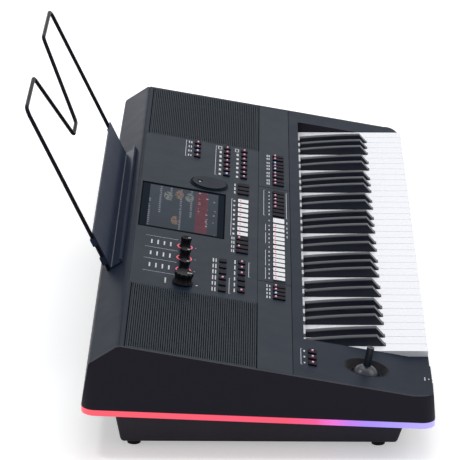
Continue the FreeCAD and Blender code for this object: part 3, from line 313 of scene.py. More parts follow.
def grained_plastic(name, colour, roughness, grain, depth, specular=0.4, side=None, rim=None):
    """Colour drifts over 60 mm, gloss over 25 mm; grain and its depth are in metres."""
    finish = Finish(name, Specular_IOR_Level=specular)
    gloss = finish.place.noise(GLOSS_PATCH, 4.0)
    body = finish.place.noise(COLOUR_PATCH).mixed(
        shade(colour, 1 - COLOUR_DRIFT), shade(colour, 1 + COLOUR_DRIFT))
    # painted highlight: a lighter colour on the narrow rims along both ends
    if rim:
        at_rim_highlight = finish.place.axis("X").size() > (LENGTH / 2 - RIM_HIGHLIGHT_WIDTH) * MM
        body = at_rim_highlight.mixed(body, rim)
    # painted shade: upright faces get a colour of their own, set for how the walls take the light
    if side:
        body = looks_up(finish, TOP_FACE).mixed(side, body)
    return finish.set(
        Base_Color=body,
        Roughness=gloss * GLOSS_DRIFT + (roughness - GLOSS_DRIFT / 2),
        Normal=finish.place.noise(grain, 3.0).bump(depth),
    )


def dress(material, *names):
    """Gives the named solids one finish."""
    for name in names:
        held = solids[name].data.materials
        held.clear()
        held.append(material)


# side is the painted shade colour of the upright walls, rim a painted highlight along the end rims
case_black = grained_plastic("case_black", (0.0066, 0.0114, 0.0222), 0.5, 0.0007, 0.00003, 0.085,
                             side=(0.0150, 0.0138, 0.0215), rim=(0.026, 0.025, 0.036))
tray_black = grained_plastic("tray_black", (0.041, 0.039, 0.050), 0.65, 0.0011, 0.00005, 0.08)
panel_slate = grained_plastic("panel_slate", (0.0072, 0.0130, 0.0238), 0.46, 0.00045, 0.00002, 0.10)
rail_black = grained_plastic("rail_black", (0.010, 0.010, 0.012), 0.5, 0.0008, 0.00004, 0.15)
dress(case_black, "top_case")
dress(tray_black, "bottom_case")
dress(panel_slate, "control_panel")
dress(rail_black, "front_rail", "key_frame")
print("grained plastics on the casing")

# %% [markdown]
# ## Speaker grilles
# Each grille is a plate of thin ribs running the length of the keyboard's end, over a dark
# loudspeaker. The ribs are real slots in the solid, so the finish only has to be matt, with a
# painted highlight that makes the ribs' upper faces a little greyer and painted shade that
# makes the slot walls black.

# %% Grilles and loudspeakers
LIT_RIB_TOP = 0.9
grille = Finish("grille_matt", Specular_IOR_Level=0.12)
# painted light: the slot walls are painted black as shade, the rib tops a lighter grey as lit
grille.set(
    Base_Color=looks_up(grille, LIT_RIB_TOP).mixed((0.007, 0.009, 0.012), (0.015, 0.023, 0.032)),
    Roughness=grille.place.noise(0.004, 4.0) * 0.16 + 0.45,
    Normal=grille.place.noise(0.0005).bump(0.00003),
)
dress(grille.material, "speaker_grille_left", "speaker_grille_right")

cone = Finish("cone_paper", Roughness=0.9, Specular_IOR_Level=0.15)
fibre = cone.place.noise(0.0016, 5.0)
cone.set(Base_Color=fibre.mixed((0.006, 0.006, 0.006), (0.016, 0.015, 0.014)), Normal=fibre.bump(0.0001))
dress(cone.material, "speaker_left", "speaker_right")
print("grilles matt, cones fibrous")

# %% [markdown]
# ## Keys
# White keys are glossy acrylic-like plastic, very slightly cool, with hardly any grain; years
# of hands leave the gloss uneven. Black keys are satin, rubbed a little unevenly too. Their
# moulded edges are softly broken by a small bevel over the solids, so that each edge can
# catch some light.

# %% Key finishes and broken edges
WHITE_EDGE, BLACK_EDGE = 0.08, 0.45
WELD_REACH = 1e-6
SHARP_EDGE = math.radians(50)
NATURALS = ("c", "d", "e", "f", "g", "a", "b")
SHARPS = ("c_sharp", "d_sharp", "f_sharp", "g_sharp", "a_sharp")

ivory = Finish("white_key_gloss", Coat_Weight=0.25, Coat_Roughness=0.08, Specular_IOR_Level=0.45)
ivory.set(
    Base_Color=ivory.place.noise(0.05).mixed((0.85, 0.865, 0.91), (0.88, 0.89, 0.935)),
    Roughness=ivory.place.noise(0.012, 4.0) * 0.14 + 0.2,
    Normal=ivory.place.noise(0.004).bump(0.000005),
)
ebony = Finish("black_key_satin", Coat_Weight=0.03, Coat_Roughness=0.15, Specular_IOR_Level=0.24)
rub = ebony.place.noise(0.02, 3.0)
ebony.set(
    Base_Color=rub.mixed((0.0055, 0.008, 0.0155), (0.0095, 0.0125, 0.0215)),
    Roughness=rub * 0.16 + 0.24,
    Normal=ebony.place.noise(0.0006).bump(0.000012),
)


def break_edges(name, width):
    """Welds a solid's loose triangles in its modifiers only, and bevels its sharp edges."""
    weld = solids[name].modifiers.new("weld", "WELD")
    weld.merge_threshold = WELD_REACH
    bevel = solids[name].modifiers.new("broken_edges", "BEVEL")
    bevel.width = width * MM
    bevel.segments = 2
    bevel.limit_method = "ANGLE"
    bevel.angle_limit = SHARP_EDGE


for notes, finish, edge in ((NATURALS, ivory, WHITE_EDGE), (SHARPS, ebony, BLACK_EDGE)):
    for note in notes:
        dress(finish.material, "keys_" + note)
        break_edges("keys_" + note, edge)
print("keys finished")

# %% [markdown]
# ## Glowing end bars
# A strip of diffusing plastic runs round each end, lit from inside. In the photograph it
# glows coral red at the back and turns through pink to lavender at the front, so its colour
# depends on the depth ruler alone, apart from a slight ripple. The rings under the three
# small knobs glow red.

# %% Light bars and rings
BAR_DEPTH = 414.0
RIPPLE = 0.03
glow = Finish("bar_glow", Roughness=0.35, Emission_Strength=1.0, Base_Color=(0.05, 0.03, 0.04))
depth = (glow.place.axis("Y") + DEPTH / 2 * MM) / (BAR_DEPTH * MM)
ripple = glow.place.noise(0.012) * RIPPLE - RIPPLE / 2
glow.set(Emission_Color=(depth + ripple).ramp(
    (0.0, (0.48, 0.42, 0.95)),
    (0.1, (0.40, 0.32, 0.95)),
    (0.19, (0.37, 0.24, 0.95)),
    (0.24, (0.50, 0.18, 0.88)),
    (0.29, (0.85, 0.14, 0.70)),
    (0.34, (0.88, 0.065, 0.28)),
    (0.42, (0.90, 0.055, 0.13)),
    (1.0, (1.0, 0.075, 0.11))))
dress(glow.material, "light_bar_left", "light_bar_right")

ring = Finish("ring_glow", Roughness=0.3, Emission_Strength=0.75, Base_Color=(0.08, 0.01, 0.015))
ring.set(Emission_Color=ring.place.noise(0.004).mixed((0.9, 0.04, 0.12), (1.0, 0.12, 0.22)))
dress(ring.material, "knob_light_rings")
print("bars and rings lit")

# %% [markdown]
# ## Boards, metal, rubber and felt
# What is inside hardly shows, but the part may be opened, so each hidden piece still gets
# the finish of the real thing: solder-masked boards, brushed zinc plate, nickel, moulded
# rubber and pressed felt.

# %% Boards and metal
WEAVE_SCALE, WEAVE_SHARE = 900.0, 0.3
BRUSHED_ALONG_Y = (20.0, 1.0, 20.0)
board = Finish("board_mask", Roughness=0.4, Coat_Weight=0.3)
weave = board.place.node("ShaderNodeTexChecker", None, {"Vector": board.place, "Scale": WEAVE_SCALE}, 1)
mask = weave * WEAVE_SHARE + board.place.noise(0.02) * (1 - WEAVE_SHARE)
board.set(Base_Color=mask.mixed((0.004, 0.03, 0.014), (0.008, 0.05, 0.022)))
dress(board.material, "panel_board", "main_board", "key_contact_board", "light_boards")

zinc = Finish("zinc_plate", Metallic=1.0)
stretched = zinc.place.node("ShaderNodeMapping", None, {"Vector": zinc.place, "Scale": BRUSHED_ALONG_Y})
brushed = stretched.noise(0.01, 4.0)
zinc.set(
    Base_Color=brushed.mixed((0.45, 0.46, 0.47), (0.62, 0.63, 0.64)),
    Roughness=brushed * 0.2 + 0.25,
    Normal=brushed.bump(0.00001),
)
dress(zinc.material, "key_pivot_rod", "key_return_springs", "case_screws", "rotary_encoders")

nickel = Finish("nickel_nut", Metallic=1.0)
swirl = nickel.place.noise(0.0025, 4.0)
nickel.set(Base_Color=swirl.mixed((0.50, 0.49, 0.46), (0.66, 0.65, 0.62)), Roughness=swirl * 0.2 + 0.18)
dress(nickel.material, "jack_sockets", "rear_ports")
print("boards and metal finished")

# %% Rubber, felt and the display's shell
rubber = grained_plastic("foot_rubber", (0.012, 0.012, 0.012), 0.85, 0.0009, 0.00012, 0.2)
dress(rubber, "rubber_feet")
silicone = grained_plastic("contact_silicone", (0.20, 0.20, 0.19), 0.7, 0.001, 0.00004, 0.3)
dress(silicone, "contact_rubber_strip")
felt = Finish("stop_felt", Roughness=1.0, Specular_IOR_Level=0.05, Sheen_Weight=0.4)
tuft = felt.place.noise(0.0012, 6.0)
felt.set(Base_Color=tuft.mixed((0.16, 0.012, 0.014), (0.30, 0.03, 0.03)), Normal=tuft.bump(0.0004))
dress(felt.material, "key_felt_strips")
module = grained_plastic("module_shell", (0.03, 0.03, 0.032), 0.5, 0.0008, 0.00003)
dress(module, "display_module")
print("soft inner pieces finished")

# %% [markdown]
# ## Controls
# Buttons are small caps in two plastics: soft dark ones and white ones, whose walls are
# painted dark as shade. The power button and the joystick's yoke share a smooth plastic that
# is glossier than the case, and the joystick's stick and ball have one that mirrors more. The
# dial is satin, with a fingertip dimple painted dark as its shade and reflection, and a pale
# spot in it that is a painted glint. The music stand is steel, dipped in a navy-black lacquer.

# %% Button finishes
LIT_CAP_TOP = 0.6
dark_cap = grained_plastic("dark_cap", (0.0055, 0.0042, 0.0082), 0.5, 0.0005, 0.00002, 0.055)
dress(dark_cap, "voice_buttons", "bank_buttons", "mode_buttons", "registration_buttons", "memory_buttons",
      "sync_buttons", "left_panel_buttons", "octave_buttons")
white_cap = Finish("white_cap", Specular_IOR_Level=0.4)
milk = white_cap.place.noise(0.006, 3.0)
cap_white = milk.mixed((0.69, 0.70, 0.73), (0.77, 0.78, 0.80))
# painted shade: the white caps' walls, which do not look up, are painted dark grey
white_cap.set(
    Base_Color=looks_up(white_cap, LIT_CAP_TOP).mixed((0.09, 0.09, 0.10), cap_white),
    Roughness=milk * 0.15 + 0.3,
)
dress(white_cap.material, "part_buttons", "style_buttons")
print("buttons finished")

# %% Dial finish
DIAL_PLACE, DIAL_ROW = 628.0, 275.0
DIMPLE_OFFSET, DIMPLE_RADIUS = 12.5, 4.6
GLINT_SHARE = 0.32
dial = Finish("dial_black", Specular_IOR_Level=0.055)
beside = dial.place.axis("X") - (DIAL_PLACE - LENGTH / 2) * MM
behind = dial.place.axis("Y") - (DIAL_ROW + DIMPLE_OFFSET * math.cos(SLOPE) - DEPTH / 2) * MM
reach = (beside * beside + behind * behind) ** 0.5 / (DIMPLE_RADIUS * MM)
spun = dial.place.noise(0.02, 3.0)
disc = spun.mixed((0.005, 0.0095, 0.0165), (0.007, 0.0125, 0.0215))
# painted shade and reflection darken the fingertip dimple, and a painted glint is the pale spot at its
# middle
dimple_shade_and_glint = (reach < GLINT_SHARE).mixed((0.001, 0.0015, 0.002), (0.6, 0.62, 0.64))
dial.set(
    Base_Color=(reach < 1.0).mixed(disc, dimple_shade_and_glint),
    Roughness=spun * 0.16 + 0.34,
    Normal=dial.place.noise(0.0005).bump(0.00001),
)
dress(dial.material, "data_dial")
print("dial finished")

# %% Joystick, power button and stand finishes
gloss_black = grained_plastic("gloss_black", (0.004, 0.0045, 0.0065), 0.28, 0.0012, 0.000006, 0.3)
dress(gloss_black, "joystick_yoke", "power_button")
ball_black = grained_plastic("ball_black", (0.006, 0.010, 0.019), 0.32, 0.0012, 0.000006, 0.48)
dress(ball_black, "joystick_stick")
soft_black = grained_plastic("soft_black", (0.005, 0.005, 0.0075), 0.5, 0.0006, 0.00003, 0.1)
dress(soft_black, "joystick_housing")
lacquer = grained_plastic("stand_lacquer", (0.012, 0.019, 0.040), 0.4, 0.0016, 0.00002, 0.10)
dress(lacquer, "music_stand_plate")
wire_black = grained_plastic("wire_lacquer", (0.006, 0.006, 0.010), 0.36, 0.002, 0.00002, 0.05)
dress(wire_black, "music_stand_wire")
print("joystick and stand finished")

# %% [markdown]
# ## The lit screen
# The display is a dark glass with a picture behind it. The picture is generic: a dark page,
# four round icons, rows of thin dashes for captions and one reddish band near the front
# edge. It is worked out from the two rulers, so it stays on the glass from any side. Places
# in it are shares of the lit area's width and depth.

# %% The lit area and its page
SCREEN_LEFT, SCREEN_RIGHT = 429.0, 589.5
SCREEN_FRONT, SCREEN_REAR = 261.8, 352.0
BAND_FRONT, BAND_REAR, BAND_MARGIN = 0.15, 0.32, 0.01
glass = Finish("screen_glass", Base_Color=(0.001, 0.0062, 0.0135), Specular_IOR_Level=0.004,
               Emission_Strength=1.0)
across = (glass.place.axis("X") - (SCREEN_LEFT - LENGTH / 2) * MM) / ((SCREEN_RIGHT - SCREEN_LEFT) * MM)
up = (glass.place.axis("Y") - (SCREEN_FRONT - DEPTH / 2) * MM) / ((SCREEN_REAR - SCREEN_FRONT) * MM)


def between(value, low, high):
    return (value > low) * (value < high)


lit = between(across, 0.0, 1.0) * between(up, 0.0, 1.0)
smear = glass.place.noise(0.02, 3.0)
page = (across * 0.4 + smear * 0.6).mixed((0.036, 0.039, 0.044), (0.058, 0.064, 0.072))
band = between(up, BAND_FRONT, BAND_REAR) * between(across, BAND_MARGIN, 1 - BAND_MARGIN)
page = band.mixed(page, glass.place.noise(0.012).mixed((0.088, 0.028, 0.034), (0.140, 0.047, 0.055)))
print("page drawn")

# %% Captions, icons and dashes on the page
TEXT_FRONT, TEXT_DEPTH = 0.36, 0.6
COLUMNS, ROWS, WORDS = 3.0, 4.0, 7.0
CAPTION_LINE, CAPTION_WORD = (0.1, 0.3), (0.2, 0.8)
CELLS_FILLED, CAPTION_GAPS = 0.8, 0.42
ICON_ACROSS, ICON_UP, ICON_GAPS = 0.105, 0.063, 0.46
PALE, WARM = (0.15, 0.165, 0.15), (0.18, 0.12, 0.095)
ICONS = ((0.78, 0.73, PALE), (0.85, 0.57, WARM), (0.82, 0.42, PALE), (0.21, 0.60, WARM))
BAND_LINES, BAND_WORDS, BAND_GAPS, BAND_TEXT_REAR = 9.0, 18.0, 0.58, 0.34
BAND_LINE, BAND_WORD = (0.3, 0.6), (0.15, 0.7)
column, line = across * COLUMNS, (up - TEXT_FRONT) * (ROWS / TEXT_DEPTH)
cell = column.node("ShaderNodeCombineXYZ", None, {0: column.whole(), 1: line.whole(), 2: 0.5})
dice = cell.node("ShaderNodeTexWhiteNoise", {"noise_dimensions": "3D"}, {0: cell})
scribble = glass.place.noise(0.0045, 3.0)
caption = between(line.part(), *CAPTION_LINE) * between((column * WORDS).part(), *CAPTION_WORD)
caption = caption * (dice < CELLS_FILLED) * (up > TEXT_FRONT) * (scribble > CAPTION_GAPS)
page = caption.mixed(page, (0.17, 0.18, 0.21))
for place, height, colour in ICONS:
    aside, over = (across - place) / ICON_ACROSS, (up - height) / ICON_UP
    inside = aside * aside + over * over < 1.0
    page = (inside * (scribble > ICON_GAPS)).mixed(page, colour)
dash = between((up * BAND_LINES).part(), *BAND_LINE) * between((across * BAND_WORDS).part(), *BAND_WORD)
dash = dash * (glass.place.noise(0.011) > BAND_GAPS) * (up < BAND_TEXT_REAR)
page = dash.mixed(page, (0.30, 0.25, 0.28))
glass.set(Emission_Color=lit.mixed((0.0, 0.0, 0.0), page), Roughness=smear * 0.06 + 0.07)
dress(glass.material, "display_lens")
print("screen drawn")

# %% [markdown]
# ## Surfaces from arrays
# Nearly every new piece here is a loft: a stack of rings of points, joined ring to ring and
# closed by a flat face at each end. A lamp lens, a printed dash and a knob are all stacks of
# rings, so one function makes the faces, and whole banks of copies are placed by adding an
# array of offsets, with no loop over vertices.

# %% Lofts and meshes
def loft(rings):
    """Faces of a stack of rings: quads between ring i and i + 1, and one cap at each end."""
    stack, spokes = rings.shape[:2]
    index = np.arange(stack * spokes).reshape(stack, spokes)
    ahead = np.roll(index, -1, axis=1)
    quads = np.stack([index[:-1], ahead[:-1], ahead[1:], index[1:]], axis=-1).reshape(-1, 4)
    caps = np.stack([index[0][::-1], index[-1]])
    return rings.reshape(-1, 3), [quads, caps]


def at_heights(flat, heights):
    """Flat rings lifted: every point of ring i gets height i as its third coordinate."""
    lifted = np.broadcast_to(heights[:, None, None], flat.shape[:-1] + (1,))
    return np.concatenate([flat, lifted], axis=-1)


def repeated(blocks, count, step):
    """The same faces once for each of count copies, whose points lie step places apart."""
    starts = np.arange(count)[:, None, None] * step
    return [(starts + block[None]).reshape(-1, block.shape[1]) for block in blocks]


def piece(name, points, blocks, body, material, uv=None, smooth=True):
    """A mesh in the frame that rides on a body; uv holds one pair for every point."""
    mesh = bpy.data.meshes.new(name)
    mesh.from_pydata(points.tolist(), [], [face for block in blocks for face in block.tolist()])
    mesh.materials.append(material)
    mesh.polygons.foreach_set("use_smooth", np.full(len(mesh.polygons), smooth))
    if uv is not None:
        corners = np.empty(len(mesh.loops), np.int32)
        mesh.loops.foreach_get("vertex_index", corners)
        layer = mesh.uv_layers.new(name="face")
        layer.data.foreach_set("uv", uv[corners].astype(np.float32).ravel())
    mesh.update()
    made = bpy.data.objects.new(name, mesh)
    scene.collection.objects.link(made)
    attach(made, body)
    return made


print("loft tools ready")

# %% [markdown]
# ## Where the buttons are
# The lamps, the printed captions and the brackets all follow the button banks, so the banks'
# places are set out once, on the two rulers. Each bank's places run from the left.

# %% Button places
ROW_A, ROW_B, ROW_C, ROW_D, OCTAVE_ROW = 182.0, 229.0, 252.5, 293.5, 143.5


def evenly(first, pitch, count):
    return first + pitch * np.arange(count)


def in_groups(first, pitch, step, groups):
    """Evenly spaced groups, with a wider step from one group to the next."""
    steps = np.concatenate([[pitch] * (count - 1) + [step] for count in groups])[:-1]
    return first + np.concatenate([[0.0], np.cumsum(steps)])


voice = evenly(678.0, 18.75, 7)
bank = evenly(736.2, 18.9, 4)
mode = evenly(384.8, 15.7, 4)
page_keys = evenly(611.8, 15.5, 3)
parts = evenly(449.0, 18.3, 8)
styles = np.append(in_groups(308.4, 15.6, 17.4, (3, 4, 1, 3, 2)), 523.0)
registration = in_groups(672.4, 13.0, 17.7, (2, 2, 3, 2))
memory = evenly(547.0, 14.9, 7)
sync = evenly(242.2, 12.9, 4)
left_upper = evenly(237.5, 20.4, 6)
left_lower = evenly(245.0, 20.0, 6)
octave = evenly(47.7, 18.3, 3)
banks = (voice, voice, bank, mode, page_keys, parts, styles, registration, memory, sync, left_upper,
         left_lower, octave)
print("buttons:", sum(map(len, banks)))

# %% [markdown]
# ## Button lamps
# Most dark buttons have a tiny lens moulded into the cap, lit pink, with one here and there
# white. A lens is a low pillow with rounded corners. Its glow is brightest in the middle, so
# the finish reads the lens's own UV map and fades from the centre out. The lamps ride on
# their buttons. White caps carry a flat red tick instead.

# %% Lamp lenses
CAP_PROUD = 1.8
LAMP_SPOKES = 12


def pillow(width, depth, height):
    """A superellipse of power 4, |x|^4 + |y|^4 = 1, shrunk ring by ring as it rises."""
    spoke = np.arange(LAMP_SPOKES) * math.tau / LAMP_SPOKES
    outline = np.stack([np.sign(np.cos(spoke)) * np.abs(np.cos(spoke)) ** 0.5 * width / 2,
                        np.sign(np.sin(spoke)) * np.abs(np.sin(spoke)) ** 0.5 * depth / 2], axis=-1)
    share = np.array([1.0, 1.0, 0.82, 0.45])
    rise = np.array([-0.2, 0.35 * height, 0.85 * height, height])
    return loft(at_heights(share[:, None, None] * outline, rise))


def lamp_glow(name, core, edge):
    """Emission from core in the lens's middle, through edge, to half of edge at its rim."""
    finish = Finish(name, "UV", Roughness=0.2, Emission_Strength=1.0, Base_Color=shade(edge, 0.2))
    aside, over = finish.place.axis("X") - 0.5, finish.place.axis("Y") - 0.5
    reach = (aside * aside + over * over) ** 0.5 * 2.0
    return finish.set(Emission_Color=reach.ramp(
        (0.0, core), (0.3, core), (0.65, edge), (1.0, shade(edge, 0.5))))


def lamps(name, body, places, row, material, width=3.4, depth=2.9, height=1.4):
    """One piece that holds a pillow on the cap at every place of a row."""
    points, blocks = pillow(width, depth, height)
    uv = np.tile(points[:, :2] / (width, depth) + 0.5, (len(places), 1))
    offsets = np.stack(np.broadcast_arrays(places, row, CAP_PROUD), axis=-1)
    moved = (offsets[:, None, :] + points[None]).reshape(-1, 3)
    blocks = repeated(blocks, len(places), len(points))
    piece(name, on_panel(*moved.T), blocks, body, material, uv)


print("lamp tools ready")

# %% Lamps on their buttons
LAMP_SET_BACK = 4.4
PART_TICK_BACK, PART_TICK = 3.6, (6.0, 1.8, 0.2)
STYLE_TICK_BACK, STYLE_TICK = 4.6, (5.0, 1.8, 0.2)
pink_glow = lamp_glow("lamp_pink", (1.0, 0.90, 0.95), (0.60, 0.20, 0.35))
red_glow = lamp_glow("lamp_red", (1.0, 0.20, 0.32), (0.80, 0.05, 0.13))
white_glow = lamp_glow("lamp_white", (0.95, 0.97, 1.0), (0.45, 0.55, 1.0))
front_lamps = ROW_A + LAMP_SET_BACK
lamps("voice_lamps_front", "voice_buttons", voice, ROW_B, pink_glow)
lamps("voice_lamps_rear", "voice_buttons", voice[1:], ROW_C, pink_glow)
lamps("voice_lamp_white", "voice_buttons", voice[:1], ROW_C, white_glow)
lamps("bank_lamps", "bank_buttons", bank[[0, 2, 3]], ROW_D, pink_glow)
lamps("bank_lamp_white", "bank_buttons", bank[[1]], ROW_D, white_glow)
lamps("left_lamps_rear", "left_panel_buttons", left_upper[[2]], ROW_C, pink_glow)
lamps("left_lamps_front", "left_panel_buttons", left_lower[[0, 3, 4, 5]], ROW_B, pink_glow)
lamps("mode_lamps", "mode_buttons", mode[[1, 3]], ROW_B + LAMP_SET_BACK, pink_glow)
lamps("registration_lamps", "registration_buttons", registration[[0, 1, 2, 3, 5, 7, 8]], front_lamps,
      pink_glow)
lamps("registration_lamps_white", "registration_buttons", registration[[4, 6]], front_lamps, white_glow)
lamps("memory_lamps", "memory_buttons", memory[2:6], front_lamps, pink_glow)
lamps("sync_lamps", "sync_buttons", sync[[0, 2, 3]], front_lamps, pink_glow)
lamps("sync_lamp_white", "sync_buttons", sync[[1]], front_lamps, white_glow)
lamps("octave_lamps", "octave_buttons", octave, OCTAVE_ROW, pink_glow)
lamps("part_ticks", "part_buttons", parts, ROW_B + PART_TICK_BACK, red_glow, *PART_TICK)
lamps("style_ticks", "style_buttons", styles[:-1], ROW_A + STYLE_TICK_BACK, red_glow, *STYLE_TICK)

# %% [markdown]
# ## Knobs
# The three small knobs and the volume knob are fluted all round for the fingers. Each is a
# turned profile with a slight waist, whose skirt swells and shrinks with the angle. It is
# dished on top, with a white pointer let into the dish. The knobs stand in for the plain
# turned solids and turn with them.

# %% Fluted knobs and their pointers
KNOB_ROW = 301.0
SMALL_KNOBS, VOLUME_PLACE = (286.0, 328.0, 370.0), 239.0
SMALL_SIZES = {"radius": 7.0, "foot_radius": 7.0, "height": 12.0, "ribs": 9, "bite": 0.18}
VOLUME_SIZES = {"radius": 12.2, "foot_radius": 13.2, "height": 14.0, "ribs": 12, "bite": 0.15}
KNOB_LIFT, STEM_RADIUS, STEM_REACH = 0.8, 3.0, 8.6
SPOKES_PER_RIB = 8
POINTER_HALF_WIDTH, POINTER_RIM, POINTER_MIDDLE = 0.6, 0.84, 0.3
POINTER_FOOT, POINTER_TOP = 1.2, 0.05


def ribbed_knob(radius, foot_radius, height, ribs, bite):
    """Rings of radius r * (1 - bite * share * (1 + cos(ribs * angle)) / 2), one for each
    (r, height, share) of the profile."""
    spokes = ribs * SPOKES_PER_RIB
    angle = np.arange(spokes) * math.tau / spokes
    top = KNOB_LIFT + height
    profile = np.array([
        (STEM_RADIUS, -STEM_REACH, 0.0), (STEM_RADIUS, KNOB_LIFT, 0.0),
        (foot_radius * 0.95, KNOB_LIFT, 0.2), (foot_radius, KNOB_LIFT + 0.5, 0.4),
        (foot_radius, KNOB_LIFT + 1.6, 0.5), (radius * 0.9, KNOB_LIFT + 3.2, 1.0),
        (radius * 0.88, KNOB_LIFT + height * 0.55, 1.0), (radius, top - 2.2, 1.0),
        (radius, top - 0.8, 1.0), (radius * 0.97, top - 0.2, 0.9),
        (radius * 0.93, top, 0.7), (radius * 0.82, top, 0.2),
        (radius * 0.72, top - 0.8, 0.0), (radius * 0.2, top - 1.0, 0.0)])
    swell = 1 - bite * profile[:, 2, None] * (1 + np.cos(ribs * angle))[None] / 2
    reach = profile[:, 0, None] * swell
    flat = np.stack([reach * np.cos(angle), reach * np.sin(angle)], axis=-1)
    return loft(at_heights(flat, profile[:, 1]))


def pointer(radius, height):
    """A slab from near the middle of the dish to its rim, towards the player."""
    x = np.array([-1, 1, 1, -1]) * POINTER_HALF_WIDTH
    y = np.array([POINTER_RIM, POINTER_RIM, POINTER_MIDDLE, POINTER_MIDDLE]) * -radius
    outline = np.stack([x, y], axis=-1)
    heights = KNOB_LIFT + height - np.array([POINTER_FOOT, POINTER_TOP])
    return loft(at_heights(np.repeat(outline[None], 2, axis=0), heights))


pointer_white = Finish("pointer_white", Roughness=0.5, Specular_IOR_Level=0.3)
pointer_white.set(Base_Color=pointer_white.place.noise(0.002).mixed((0.62, 0.62, 0.65), (0.74, 0.74, 0.77)))
knobs = [(f"knob_{number}", place, SMALL_SIZES) for number, place in enumerate(SMALL_KNOBS, 1)]
for name, place, sizes in knobs + [("volume_knob", VOLUME_PLACE, VOLUME_SIZES)]:
    points, blocks = ribbed_knob(**sizes)
    points = stand_on_panel(points, place, KNOB_ROW)
    cap = piece(name + "_ribbed", points, blocks, name, soft_black)
    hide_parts(name)
    points, blocks = pointer(sizes["radius"], sizes["height"])
    points = stand_on_panel(points, place, KNOB_ROW)
    piece(name + "_pointer", points, blocks, name, pointer_white.material, smooth=False)

# %% [markdown]
# ## Printed marks
# Captions are screen-printed in white beside the buttons. No words belong on this part, so
# each caption is a row of short dashes of uneven length, as fine print looks from a step
# away. Thin brackets gather the banks, four long rules divide the knobs' table, and a small
# frame is printed behind the last button of each voice row. Ink has a thickness: every mark
# is a slab a few hundredths of a millimetre high.

# %% Ink and dashes
INK_LOW, INK_HIGH = -0.02, 0.05
DASH_SHORT, DASH_LONG, DASH_GAP, DASHES_DRAWN = 1.2, 2.8, 0.5, 10
draw = np.random.default_rng(61)


def slabs(marks, low, high):
    """Marks are rows of (from left, from front, width, depth): each becomes a four-sided loft."""
    marks = np.asarray(marks, float)
    corner = np.array([[-0.5, -0.5], [0.5, -0.5], [0.5, 0.5], [-0.5, 0.5]])
    flat = marks[:, None, :2] + corner[None] * marks[:, None, 2:]
    rings = at_heights(np.repeat(flat[:, None], 2, axis=1), np.array([low, high]))
    points, blocks = loft(rings[0])
    return rings.reshape(-1, 3), repeated(blocks, len(marks), len(points))


def caption_dashes(place, from_front, width, height=1.8):
    """A word-like row: dashes of 1.2 to 2.8 mm with 0.5 mm between, centred on place."""
    lengths = draw.uniform(DASH_SHORT, DASH_LONG, DASHES_DRAWN)
    ends = np.cumsum(lengths + DASH_GAP)
    used = ends < width
    starts = (ends - lengths - DASH_GAP)[used]
    lengths = lengths[used]
    middle = (starts[-1] + lengths[-1]) / 2
    centres = place + starts + lengths / 2 - middle
    return [(centre, from_front, length, height) for centre, length in zip(centres, lengths)]


print("ink ready")

# %% Captions beside the buttons
marks = []
for places, row, width, height, lines in (
        (voice[:-1], ROW_B, 10, 3.0, (9.0,)),
        (voice[:-1], ROW_C, 10, 3.0, (9.0,)),
        (bank, ROW_D, 10, 1.4, (8.6, 11.8)),
        (mode, ROW_B, 12, 1.3, (10.6, 13.2)),
        (page_keys, ROW_B, 12, 1.8, (11.4,)),
        (parts, ROW_B, 8, 2.4, (11.6,)),
        (registration, ROW_A, 10, 1.4, (12.4, 15.0)),
        (memory, ROW_A, 7, 1.3, (12.4,)),
        (styles, ROW_A, 7, 1.2, (12.4,)),
        (styles[-4:], ROW_A, 9, 1.1, (-11.0,)),
        (sync, ROW_A, 9, 1.5, (11.6, 15.0)),
        (left_upper, ROW_C, 15, 1.4, (8.6, 12.0)),
        (left_lower, ROW_B, 14, 1.5, (8.4,)),
        (octave, OCTAVE_ROW, 6, 1.8, (9.4,))):
    for place in places:
        for line in lines:
            marks += caption_dashes(place, row + line, width, height)
print("dashes:", len(marks))

# %% Brackets, the knobs' table and frames
RULE = 0.5
BRACKET_LEG = 2.0
STYLE_GROUPS, STYLE_RULE_BACK, STYLE_OVERHANG = ((0, 2), (3, 6), (8, 10), (11, 12)), 17.0, 10
TABLE_RULES, TABLE_ROW, TABLE_DEPTH = (264.0, 308.0, 349.0, 390.0), 330.5, 41.0
TABLE_LINES, TABLE_WIDTH = evenly(319.0, 8.0, 4), 16
KNOB_DOT, KNOB_DOT_AHEAD = 1.2, 13.5
VOLUME_DOT, VOLUME_DOT_AHEAD = 2.4, 17.5
VOLUME_CAPTION = (240.0, 322.0, 20)
FRAME_BACK, FRAME_HALF_WIDTH, FRAME_HALF_DEPTH = 10.0, 6.0, 2.2
FRAME_POST, FRAME_BAR = (1.4, 5.0), (12.0, 0.8)
for places, overhang, row in (
        (voice, 6, ROW_C + 15.5), (bank, 6, ROW_D + 16.0), (parts, 7, ROW_B + 15.0),
        (memory, 6, ROW_A + 19.5), (memory, 6, ROW_A - 10.6), (octave, 6, OCTAVE_ROW + 13.5),
        (left_lower[3:6], 6, ROW_B - 9.0), (left_upper[0:3], 6, ROW_C - 8.6)):
    first, last = places[0] - overhang, places[-1] + overhang
    marks.append(((first + last) / 2, row, last - first, RULE))
    marks += [(end, row - BRACKET_LEG / 2, RULE, BRACKET_LEG) for end in (first, last)]
for first, last in STYLE_GROUPS:
    start, stop = styles[first], styles[last]
    marks.append(((start + stop) / 2, ROW_A + STYLE_RULE_BACK, stop - start + STYLE_OVERHANG, RULE))
marks += [(place, TABLE_ROW, RULE, TABLE_DEPTH) for place in TABLE_RULES]
for place in SMALL_KNOBS:
    for line in TABLE_LINES:
        marks += caption_dashes(place, line, TABLE_WIDTH)
    marks.append((place, KNOB_ROW - KNOB_DOT_AHEAD, KNOB_DOT, KNOB_DOT))
marks += caption_dashes(*VOLUME_CAPTION)
marks.append((VOLUME_PLACE, KNOB_ROW - VOLUME_DOT_AHEAD, VOLUME_DOT, VOLUME_DOT))
